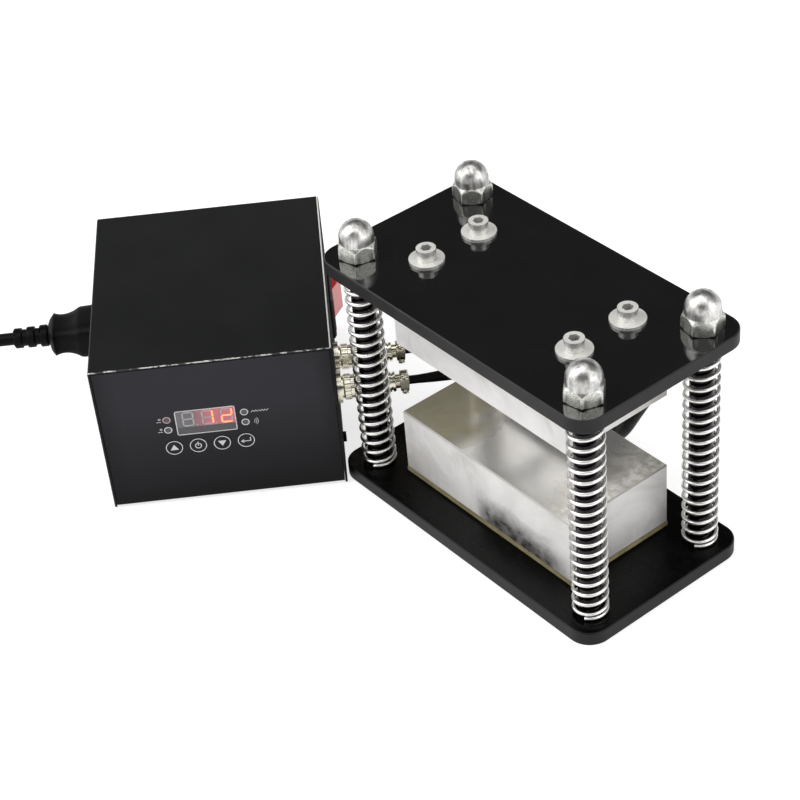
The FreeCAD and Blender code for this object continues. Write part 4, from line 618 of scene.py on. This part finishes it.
def case_paint():
    """Satin black paint, worn to bright metal in an uneven line along the top's front edge, with a painted
    highlight as a thin pale line along the top's right edge.
    """
    f = Finish("case_satin_paint", Specular_IOR_Level=0.18)
    out, back, up = f.case_parts()
    ragged = f.maths("MULTIPLY", f.maths("SUBTRACT", f.noise(420, 4, 0.7), 0.5), 0.0016)
    near_top = f.maths("GREATER_THAN", up, 0.0889)
    front_edge = f.maths("LESS_THAN", f.maths("ADD", back, ragged), 0.0003)
    # The pale strip along the top's right edge is a painted highlight.
    right_edge_highlight = f.maths("MULTIPLY", f.facing_up(), f.maths("GREATER_THAN", out, -0.0011))
    wall = f.maths("MULTIPLY", f.maths("GREATER_THAN", out, -0.0004), f.maths("SUBTRACT", 1.0, f.facing_up()))
    grain = f.noise(2600, 2)
    cloud = f.noise(30, 4)
    paint = f.ramp(cloud, [(0.3, (0.0050, 0.0055, 0.0053)), (0.7, (0.0078, 0.0083, 0.0081))])
    broken = f.ramp(f.noise(210, 5, 0.7), [(0.45, 0.05), (0.54, 1.0)])
    worn_front = f.maths("MULTIPLY", front_edge, broken)
    # Wear on the front edge together with the painted highlight on the right edge.
    wear_and_highlight = f.maths("MULTIPLY", near_top, f.maths("MAXIMUM", worn_front, right_edge_highlight))
    f.colour(f.mix(wear_and_highlight, paint, (0.80, 0.79, 0.76)))
    f.roughness(f.mix(wall, f.ramp(grain, [(0.3, 0.36), (0.7, 0.5)]), (0.95, 0.95, 0.95)))
    f.bump(grain, 0.16, 0.00006)
    return f.material


def front_film():
    """Bluish black film with a painted reflection of the floor, darker towards the table and towards the
    film's sides.
    """
    f = Finish("front_film", Specular_IOR_Level=0.13)
    out, _, up = f.case_parts()
    cloud = f.noise(18, 3)
    deep = f.ramp(cloud, [(0.3, (0.0040, 0.0040, 0.0050)), (0.7, (0.0055, 0.0055, 0.0068))])
    pale = f.ramp(cloud, [(0.3, (0.028, 0.028, 0.0335)), (0.7, (0.036, 0.036, 0.0425))])
    sides = f.maths("MULTIPLY", f.between(out, -0.001, -0.011), f.between(out, -0.123, -0.112))
    # Painted reflection of the floor: paler high in the middle, darker towards the table and the sides.
    light = f.maths("MULTIPLY", f.between(up, 0.006, 0.062), f.ramp(sides, [(0.0, 0.45), (1.0, 1.0)]))
    f.colour(f.mix(light, deep, pale))
    f.roughness(f.ramp(f.noise(500, 3), [(0.3, 0.3), (0.7, 0.38)]))
    f.bump(f.noise(1400, 2), 0.04, 0.00004)
    return f.material


def plain(name, low, high, rough):
    f = Finish(name)
    f.colour(f.ramp(f.noise(200, 3), [(0.3, low), (0.7, high)]))
    f.roughness(f.ramp(f.noise(600, 3), [(0.3, rough - 0.04), (0.7, rough + 0.05)]))
    return f.material


def window_glass():
    """Smoked window whose right side is lit by the digits behind it."""
    f = Finish("window_smoked", Specular_IOR_Level=0.5)
    out, _, up = f.case_parts()
    high = f.between(up, 0.0487, 0.0490)
    lit = f.between(out, -0.0765, -0.0665)
    uneven = f.ramp(f.noise(220, 2), [(0.3, 0.6), (0.7, 0.85)])
    glow = f.maths("MULTIPLY", f.maths("MULTIPLY", lit, high), uneven)
    grey = f.mix(high, (0.082, 0.078, 0.085), (0.175, 0.168, 0.178))
    f.colour(f.mix(glow, grey, (0.42, 0.16, 0.18)))
    f.roughness(f.ramp(f.noise(900, 2), [(0.3, 0.2), (0.7, 0.28)]))
    f.feed(f.shader.inputs["Emission Color"], f.mix(glow, (0, 0, 0), (0.34, 0.045, 0.06)))
    f.shader.inputs["Emission Strength"].default_value = 1.0
    return f.material


def glowing(name, colour, strength):
    f = Finish(name)
    shade = f.ramp(f.noise(900, 2), [(0.3, [part * 0.9 for part in colour]), (0.7, colour)])
    f.colour(shade)
    f.feed(f.shader.inputs["Emission Color"], shade)
    f.shader.inputs["Emission Strength"].default_value = strength
    return f.material


def rocker_plastic():
    f = Finish("rocker_plastic", Specular_IOR_Level=0.8, Coat_Weight=1.0, Coat_Roughness=0.10)
    f.colour(f.ramp(f.noise(80, 3), [(0.3, (0.84, 0.020, 0.022)), (0.7, (0.92, 0.032, 0.034))]))
    f.roughness(f.ramp(f.noise(60, 2), [(0.3, 0.30), (0.7, 0.34)]))
    return f.material


FINISHES = {
    "black_steel": black_plate("top_plate_paint", 0.125, 0.012, 0.05, 0.08),
    "insulation": insulation_board(),
    "block_aluminium": block_aluminium(),
    "screw_steel": screw_zinc(),
    "rod_steel": bright_metal("rod_ground", (0.018, 0.016, 0.018), (0.034, 0.031, 0.034), 0.14, 0.24),
    "nut_chrome": nut_metal(),
    "spring_steel": bright_metal("spring_wire", (0.82, 0.81, 0.79), (0.96, 0.95, 0.93), 0.26, 0.38, 260),
    "cable_black": rubber("cable_jacket", (0.0035, 0.0035, 0.0038), 0.44),
    "lead_sleeve": woven_sleeve(),
    "case_paint": case_paint(),
    "foot_rubber": rubber("foot_rubber", (0.02, 0.02, 0.02), 0.7),
    "overlay_film": front_film(),
    "window_tint": window_glass(),
    "display_body": plain("display_case", (0.02, 0.02, 0.02), (0.03, 0.03, 0.03), 0.5),
    "board_green": plain("board_mask", (0.01, 0.09, 0.035), (0.015, 0.12, 0.045), 0.35),
    "lamp_lens": plain("lamp_lens", (0.075, 0.072, 0.078), (0.11, 0.105, 0.11), 0.3),
    "transformer_body": plain("transformer_varnish", (0.10, 0.07, 0.02), (0.16, 0.11, 0.04), 0.4),
    "connector_nickel": bright_metal("connector_plate", (0.74, 0.71, 0.57), (0.84, 0.81, 0.68), 0.16, 0.24,
                                     240, 0.015),
    "switch_body": rubber("switch_plastic", (0.013, 0.013, 0.0135), 0.4, 1200, 0.1),
    "rocker_red": rocker_plastic(),
}
# The base plate gets a copy of the black paint with far lower mirror and side values: painted shade.
BASE_PLATE_PAINT = black_plate("base_plate_paint", 0.0135, 0.004, 0.24, 0.30)


def paint_nodes():
    slots = {part["node"]: part["material_slot"] for part in frame["record"]["subparts"]}
    for name, obj in frame["nodes"].items():
        material = BASE_PLATE_PAINT if name == "base_plate" else FINISHES[slots[name]]
        obj.data.materials.clear()
        obj.data.materials.append(material)


def dress(obj, slot, body=None):
    obj.data.materials.clear()
    obj.data.materials.append(FINISHES[slot])
    if body:
        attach(obj, body)
    return obj


paint_nodes()
for jacket in jackets:
    dress(jacket, "cable_black")
for lead in leads:
    dress(lead, "lead_sleeve")
dress(mains, "cable_black")

# Springs of round wire

WIRE = 2.0


def spring_path(x, y):
    """Twenty turns, the first and last of them close, with a short straight end at both."""
    radius, steps = 8.25, 36
    bottom, rise_total, end_pitch, turns = 9.5, 119.0, 2.5, 20
    pitch = (rise_total - 2 * end_pitch) / (turns - 2)
    points = []
    for index in range(turns * steps + 1):
        turn = index / steps
        if turn <= 1:
            z = bottom + end_pitch * turn
        elif turn >= turns - 1:
            z = bottom + rise_total - end_pitch * (turns - turn)
        else:
            z = bottom + end_pitch + pitch * (turn - 1)
        angle = math.radians(-50) + 2 * math.pi * turn
        points.append(at(x + radius * math.cos(angle), y + radius * math.sin(angle), z))
    first = (points[0] - points[1]).normalized()
    last = (points[-1] - points[-2]).normalized()
    return [points[0] + first * WIRE * MM] + points + [points[-1] + last * WIRE * MM]


def add_springs():
    for corner, (x, y) in ROD_PLACES.items():
        spring = tube_mesh(f"spring_wire_{corner}", spring_path(x, y), WIRE / 2 * MM, sides=10)
        dress(spring, "spring_steel", "base")
        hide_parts(f"spring_{corner}")
        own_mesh(spring)


add_springs()

# Nuts and connectors


RIBS = (-158.9, -166.0, -173.1)


def rib_slots(x, angle):
    """A short slot through each rib of the strain relief, on alternate sides."""
    for index, rib in enumerate(RIBS):
        middle = math.radians(70 if index % 2 else 110)
        if abs(x - rib) < 1.7 and abs(angle - middle) < 0.3:
            return 0.8
        if abs(x - rib) < 1.7 and abs(angle - middle - math.pi) < 0.3:
            return 0.8
    return 1.0


def grip_stations():
    """The connector's smooth moulded grip with its waist."""
    body = [(-126.6, 14.1, 9.9, 5.0), (-127.0, 14.4, 10.2, 5.0), (-138.0, 14.1, 9.9, 5.0),
            (-139.4, 13.8, 9.6, 4.8)]
    for step in range(1, 9):
        x = -139.4 - 12.6 * step / 8
        dip = math.sin(math.pi * min(1.0, step / 8 * 0.98)) ** 0.8
        near = 1 - step / 8
        body.append((x, 11.9 + 1.9 * near ** 1.6 - 1.2 * dip, 8.1 + 1.5 * near ** 1.6 - 0.9 * dip, 4.6))
    return body + [(-152.8, 12.2, 8.4, 4.6), (-153.3, 11.9, 8.2, 4.4), (-155.2, 9.0, 7.0, 3.4),
                   (-155.9, 6.4, 6.2, 2.3)]


def relief_stations():
    """The ribs of the tapered strain relief."""
    radius, body = 6.1, []
    for rib in RIBS:
        taper = radius - (RIBS[0] - rib) * 0.035
        outline = [(2.9, 4.7), (2.5, 4.7), (2.1, taper - 0.3), (1.7, taper), (0.6, taper), (-0.6, taper),
                   (-1.7, taper), (-2.1, taper - 0.3), (-2.5, 4.6)]
        body += [(rib + shift, reach, reach, 2.0) for shift, reach in outline]
    return body + [(RELIEF_END, 4.3, 4.3, 2.0)]


def add_mains_connector():
    middle = (INLET_Y, SOCKET_Z)
    stations = [(*station, middle) for station in grip_stations() + relief_stations()]
    nose = [(-115.0, 11.6, 7.6, 7.0, middle), (-115.6, 12.2, 8.2, 7.0, middle),
            (-126.7, 12.2, 8.2, 7.0, middle)]
    piece = merged_piece("mains_connector_body", [loft(stations, 72, rib_slots), loft(nose)])
    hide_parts("mains_connector")
    dress(piece, "cable_black", "base")


def screw_head(x, y, z, radius, height):
    """A domed head that faces the front of the box, with a slot."""
    points = []
    rings = [(0.0, 1.0), (0.45, 1.0), (0.8, 0.8), (1.0, 0.45)]
    sides = 24
    for lift, share in rings:
        for side in range(sides):
            angle = 2 * math.pi * side / sides
            across, upward = radius * share * math.cos(angle), radius * share * math.sin(angle)
            depth = height * (lift * 0.55 if abs(upward) < 0.28 * radius and share < 0.95 else lift)
            points.append(at_case(x + across, y - depth, z + upward))
    return points, ring_faces(len(rings), sides) + end_faces(len(rings), sides)


NUT_TURNS = {"front_left": 15.4, "front_right": 10.5, "back_left": 47.8, "back_right": 46.8}
NUT_HEIGHT, NUT_FLATS, DOME_RADIUS = 20.0, 18.0, 8.8


def nut_shell(x, y, turn):
    """A turned dome and shoulder cut by a hexagonal prism; turn is the angle of one corner in degrees.
    The profile is heights above the plate and radii."""
    profile = [(0.0, 8.6), (0.35, 9.2), (0.9, 10.4), (6.3, 10.4), (6.6, 10.2), (6.9, 10.0), (7.2, 9.8),
               (7.5, 9.6), (7.8, 9.4), (8.1, 9.2), (8.35, 9.0), (8.6, 8.85), (9.2, DOME_RADIUS)]
    middle = NUT_HEIGHT - DOME_RADIUS
    profile += [(middle + DOME_RADIUS * math.sin(lift), DOME_RADIUS * math.cos(lift))
                for lift in (math.radians(6 * step) for step in range(15))]
    sides, points = 96, []
    for height, radius in profile:
        for side in range(sides):
            angle = 2 * math.pi * side / sides
            flat = NUT_FLATS / 2 / math.cos(angle % math.radians(60) - math.radians(30))
            reach, way = min(radius, flat), angle + math.radians(turn)
            points.append(at(x + reach * math.cos(way), y + reach * math.sin(way), PLATEN_TOP + height))
    base = end_faces(len(profile), sides)[:1]
    points.append(at(x, y, PLATEN_TOP + NUT_HEIGHT))
    last = (len(profile) - 1) * sides
    crown = [(last + side, last + (side + 1) % sides, len(points) - 1) for side in range(sides)]
    return points, ring_faces(len(profile), sides) + base + crown


def add_nuts():
    shells = [nut_shell(*ROD_PLACES[corner], turn) for corner, turn in NUT_TURNS.items()]
    piece = merged_piece("dome_nuts_turned", shells, 50.0)
    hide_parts("dome_nuts")
    dress(piece, "nut_chrome", "base")


def add_plug_rings():
    """Coupling rings with two knurled bands and a plain groove between them."""
    def knurl(x, angle):
        plain_band = abs(x - 8.2) < 0.8 or x < 4.0 or x > 12.6
        return 1.0 if plain_band else 1.0 + 0.012 * math.cos(28 * angle)

    profile = [(3.1, 5.6), (3.3, 6.3), (3.9, 6.6), (4.1, 6.9), (7.2, 6.9), (7.4, 6.4), (9.0, 6.4), (9.2, 6.9),
               (12.4, 6.9), (12.7, 6.6), (13.2, 6.4), (13.4, 5.6)]
    for level, y in PLUG_PLACES.items():
        shell = loft([(x, radius, radius, 2.0, (y, SOCKET_Z)) for x, radius in profile], 216, knurl)
        piece = merged_piece(f"{level}_plug_ring_knurled", [shell])
        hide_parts(f"{level}_plug_ring")
        dress(piece, "connector_nickel", "base")


SHELL_PROFILE = [(13.8, 5.9), (14.1, 6.2), (19.6, 6.2), (20.0, 5.9), (20.0, 5.5), (21.2, 5.5), (21.2, 5.9),
                 (22.4, 5.9), (22.4, 5.5), (23.6, 5.5), (23.6, 5.9), (24.6, 5.9), (25.0, 5.4), (28.6, 5.4),
                 (28.6, 4.6), (29.4, 4.6), (29.4, 5.4), (30.6, 5.4), (31.0, 5.0), (31.0, 3.9), (38.0, 3.7)]


def soft_box(start, stop, half_width, half_height, power, middle, edge=0.3):
    """A block with broken ends and rounded corners between two places outward from the box."""
    return loft([(start, half_width - edge, half_height - edge, power, middle),
                 (start + edge, half_width, half_height, power, middle),
                 (stop - edge, half_width, half_height, power, middle),
                 (stop, half_width - edge, half_height - edge, power, middle)])


def add_plug_shells():
    """The turned shell of each heater plug, with its cable clamp and the clamp's two screws."""
    for level, y in PLUG_PLACES.items():
        shell = loft([(x, radius, radius, 2.0, (y, SOCKET_Z)) for x, radius in SHELL_PROFILE])
        saddle = soft_box(33.2, 37.8, 4.2, 5.2, 4.0, (y, SOCKET_Z))
        ears = [soft_box(34.0, 37.3, 2.1, 1.7, 5.0, (y - 1.2, z), 0.2)
                for z in (SOCKET_Z - 4.9, SOCKET_Z + 4.9)]
        screws = [screw_head(35.6, y - 3.1, z, 1.6, 1.3) for z in (SOCKET_Z - 4.6, SOCKET_Z + 4.6)]
        piece = merged_piece(f"{level}_plug_shell_turned", [shell, saddle, *ears, *screws])
        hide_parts(f"{level}_plug_shell")
        dress(piece, "connector_nickel", "base")


add_nuts()
add_mains_connector()
add_plug_rings()
add_plug_shells()

# Printed marks of the front, and the digits in the window

FACE, KEY_FACE = -0.03, -0.33
LAMP_LEFT, LAMP_RIGHT, LAMP_HIGH, LAMP_LOW = -88.9, -48.8, 54.7, 48.2
LAMP_RING = (1.62, 2.12)
KEY_X, KEY_PITCH, KEY_Z = -87.35, 12.5, 36.5
THIN_LINE = 0.28
WHITE_MARK = glowing("mark_white", (0.80, 0.80, 0.81), 0.0)
SEGMENT_OFF = plain("segment_off", (0.42, 0.40, 0.42), (0.50, 0.48, 0.50), 0.35)
SEGMENT_ON = glowing("segment_on", (1.0, 0.22, 0.10), 2.2)
PINK_MARK = glowing("mark_pink", (0.70, 0.46, 0.50), 0.0)


def flat_piece(name, outlines, body, material, depth=FACE):
    """Thin shapes just proud of the front; each outline is a list of points across and up, or quads."""
    points, faces = [], []
    for outline in outlines:
        faces.append(tuple(range(len(points), len(points) + len(outline))))
        points += [at_case(x, depth, z) for x, z in outline]
    piece = mesh_piece(name, points, faces)
    piece.data.materials.append(material)
    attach(piece, body)
    return piece


def ring(x, z, inner, outer, steps=40):
    """A ring as quads."""
    quads = []
    for index in range(steps):
        first, second = (2 * math.pi * step / steps for step in (index, index + 1))
        quads.append([(x + reach * math.cos(angle), z + reach * math.sin(angle))
                      for reach, angle in ((inner, first), (outer, first), (outer, second), (inner, second))])
    return quads


def line_quads(points, width):
    """A line of the given width through points, as quads."""
    quads = []
    for (x0, z0), (x1, z1) in zip(points, points[1:]):
        length = math.hypot(x1 - x0, z1 - z0)
        dx, dz = (x1 - x0) / length * width / 2, (z1 - z0) / length * width / 2
        quads.append([(x0 - dx + dz, z0 - dz - dx), (x1 + dx + dz, z1 + dz - dx),
                      (x1 + dx - dz, z1 + dz + dx), (x0 - dx - dz, z0 - dz + dx)])
    return quads


def rounded_frame(x, z, width, height, corner, line):
    """A rectangular line with round corners, as quads."""
    loop = []
    for sx, sz, start in ((1, 1, 0), (-1, 1, 90), (-1, -1, 180), (1, -1, 270)):
        for step in range(5):
            angle = math.radians(start + 22.5 * step)
            loop.append((x + sx * (width / 2 - corner), z + sz * (height / 2 - corner), angle))
    outer, inner = ([(cx + reach * math.cos(angle), cz + reach * math.sin(angle)) for cx, cz, angle in loop]
                    for reach in (corner, corner - line))
    count = len(loop)
    return [[inner[i], outer[i], outer[(i + 1) % count], inner[(i + 1) % count]] for i in range(count)]


def segment(cx, cz, length, width, upright):
    """One bar of a seven segment digit with pointed ends."""
    half, thick = length / 2, width / 2
    shape = [(-half, 0), (-half + thick, -thick), (half - thick, -thick), (half, 0),
             (half - thick, thick), (-half + thick, thick)]
    if upright:
        shape = [(b, a) for a, b in shape]
    return [(cx + a, cz + b) for a, b in shape]


WINDOW_X, WINDOW_Z, WINDOW_WIDTH, WINDOW_HEIGHT = -68.9, 51.8, 30.6, 15.0
DIGIT_WIDTH, DIGIT_HEIGHT, BAR = 5.3, 8.4, 0.85
DIGIT_MIDDLE = 54.0
DIGITS = {-77.9: "", -67.8: "bc", -57.9: "bged"}


def digit_bars(x):
    half_w, half_h = DIGIT_WIDTH / 2, DIGIT_HEIGHT / 2
    places = {
        "a": (x, DIGIT_MIDDLE + half_h, False), "g": (x, DIGIT_MIDDLE, False),
        "d": (x, DIGIT_MIDDLE - half_h, False),
        "f": (x - half_w, DIGIT_MIDDLE + half_h / 2, True),
        "b": (x + half_w, DIGIT_MIDDLE + half_h / 2, True),
        "e": (x - half_w, DIGIT_MIDDLE - half_h / 2, True),
        "c": (x + half_w, DIGIT_MIDDLE - half_h / 2, True),
    }
    return {name: segment(cx, cz, (half_h if upright else DIGIT_WIDTH) - 0.25, BAR, upright)
            for name, (cx, cz, upright) in places.items()}


def add_panel():
    off, on = [], []
    for x, lit in DIGITS.items():
        for name, bar in digit_bars(x).items():
            (on if name in lit else off).append(bar)
        off.append([(x + 3.9, 49.5), (x + 4.7, 49.5), (x + 4.7, 50.3), (x + 3.9, 50.3)])
    flat_piece("display_segments_off", off, "base", SEGMENT_OFF)
    flat_piece("display_segments_lit", on, "base", SEGMENT_ON)
    marks = rounded_frame(WINDOW_X, WINDOW_Z, WINDOW_WIDTH + 0.6, WINDOW_HEIGHT + 0.6, 1.0, 0.5)
    for x, z in ((LAMP_LEFT, LAMP_LOW), (LAMP_RIGHT, LAMP_HIGH), (LAMP_RIGHT, LAMP_LOW)):
        marks += ring(x, z, *LAMP_RING)
    marks += line_quads([(-45.1 + step * 0.8, 54.2 + (step % 2) * 1.1) for step in range(12)], THIN_LINE)
    for reach in (1.0, 1.9, 2.8):
        arc = [math.radians(angle) for angle in range(-45, 46, 15)]
        marks += line_quads([(-44.9 + reach * math.cos(a), LAMP_LOW + reach * math.sin(a)) for a in arc],
                            THIN_LINE)
    for z in (LAMP_HIGH, LAMP_LOW):
        marks += ring(-92.5, z + 0.8, 0.35, 0.65, 16)
        marks += line_quads([(-94.1, z - 0.9), (-91.9, z - 0.9)], 0.3)
    flat_piece("front_marks", marks, "base", WHITE_MARK)
    flat_piece("lamp_ring_pink", ring(LAMP_LEFT, LAMP_HIGH, *LAMP_RING), "base", PINK_MARK)


def add_key_marks():
    shapes = {
        "key_up": [[(-2.2, -1.45), (2.2, -1.45), (0, 2.0)]],
        "key_ok": ring(0, -0.2, 1.3, 1.8, 28) + line_quads([(0, 0.1), (0, 2.3)], 0.5),
        "key_down": [[(-2.2, 1.45), (0, -2.0), (2.2, 1.45)]],
        "key_enter": line_quads([(2.3, 1.6), (2.3, -0.5), (-1.5, -0.5)], 0.5)
                     + [[(-1.2, 0.75), (-2.9, -0.5), (-1.2, -1.75)]],
    }
    for index, (key, outlines) in enumerate(shapes.items()):
        x = KEY_X + KEY_PITCH * index
        moved = [[(x + a, KEY_Z + b) for a, b in outline] for outline in outlines]
        moved += ring(x, KEY_Z, 4.0, 4.46)
        flat_piece(f"{key}_mark", moved, f"{key}_cap", WHITE_MARK, depth=KEY_FACE)


add_panel()
add_key_marks()

# Floor, light and world


def seen_strength(tree):
    """The floor's own light, for the rays that look at it; its shadow still shows."""
    rays = tree.nodes.new("ShaderNodeLightPath")
    seen = None
    for ray, strength in (("Is Camera Ray", 0.72), ("Is Glossy Ray", 0.6), ("Is Transmission Ray", 0.6)):
        part = tree.nodes.new("ShaderNodeMath")
        part.operation = "MULTIPLY"
        part.inputs[1].default_value = strength
        tree.links.new(rays.outputs[ray], part.inputs[0])
        if seen:
            total = tree.nodes.new("ShaderNodeMath")
            total.operation = "MAXIMUM"
            tree.links.new(seen, total.inputs[0])
            tree.links.new(part.outputs[0], total.inputs[1])
            part = total
        seen = part.outputs[0]
    return seen


def add_stage():
    size = 30.0
    points = [(-size, -size, 0), (size, -size, 0), (size, size, 0), (-size, size, 0)]
    floor = mesh_piece("floor", points, [(0, 1, 2, 3)])
    material = bpy.data.materials.new("floor_paper")
    material.use_nodes = True
    tree = material.node_tree
    shader = tree.nodes["Principled BSDF"]
    shader.inputs["Base Color"].default_value = (0.50, 0.50, 0.50, 1.0)
    shader.inputs["Roughness"].default_value = 0.9
    shader.inputs["Specular IOR Level"].default_value = 0.1
    shader.inputs["Emission Color"].default_value = (1.0, 1.0, 1.0, 1.0)
    tree.links.new(seen_strength(tree), shader.inputs["Emission Strength"])
    floor.data.materials.append(material)


def add_world():
    """Bright low down as the white room is, with a dark belt half way up."""
    world = bpy.data.worlds.new("studio")
    bpy.context.scene.world = world
    world.use_nodes = True
    tree = world.node_tree
    background = tree.nodes["Background"]
    place = tree.nodes.new("ShaderNodeTexCoord")
    parts = tree.nodes.new("ShaderNodeSeparateXYZ")
    tree.links.new(place.outputs["Generated"], parts.inputs[0])
    ramp = tree.nodes.new("ShaderNodeValToRGB")
    tree.links.new(parts.outputs[2], ramp.inputs["Fac"])
    stops = [(0.0, 1.1), (0.22, 0.95), (0.40, 0.20), (0.50, 0.05), (0.74, 0.05), (1.0, 0.5)]
    while len(ramp.color_ramp.elements) < len(stops):
        ramp.color_ramp.elements.new(0.5)
    for element, (position, shade) in zip(ramp.color_ramp.elements, stops):
        element.position = position
        element.color = (shade, shade, shade, 1.0)
    tree.links.new(ramp.outputs["Color"], background.inputs["Color"])
    background.inputs["Strength"].default_value = 1.0


def add_area(name, place, target, size, power):
    data = bpy.data.lights.new(name, "AREA")
    data.shape = "RECTANGLE"
    data.size, data.size_y = size
    data.energy = power
    lamp = bpy.data.objects.new(name, data)
    way = (Vector(target) - Vector(place)).normalized()
    lamp.matrix_world = Matrix.Translation(place) @ way.to_track_quat("-Z", "Y").to_matrix().to_4x4()
    bpy.context.scene.collection.objects.link(lamp)


def add_lights():
    middle = (-0.08, -0.05, 0.05)
    add_area("key_light", (-1.1, -1.5, 1.5), middle, (2.1, 2.1), 35)
    add_area("right_light", (1.9, 0.5, 1.2), middle, (1.8, 2.2), 22)
    add_area("top_light", (0.1, -0.4, 2.2), middle, (2.2, 2.2), 20)


add_stage()
add_world()
add_lights()
bpy.context.scene.view_settings.view_transform = "Standard"

bpy.context.view_layer.update()
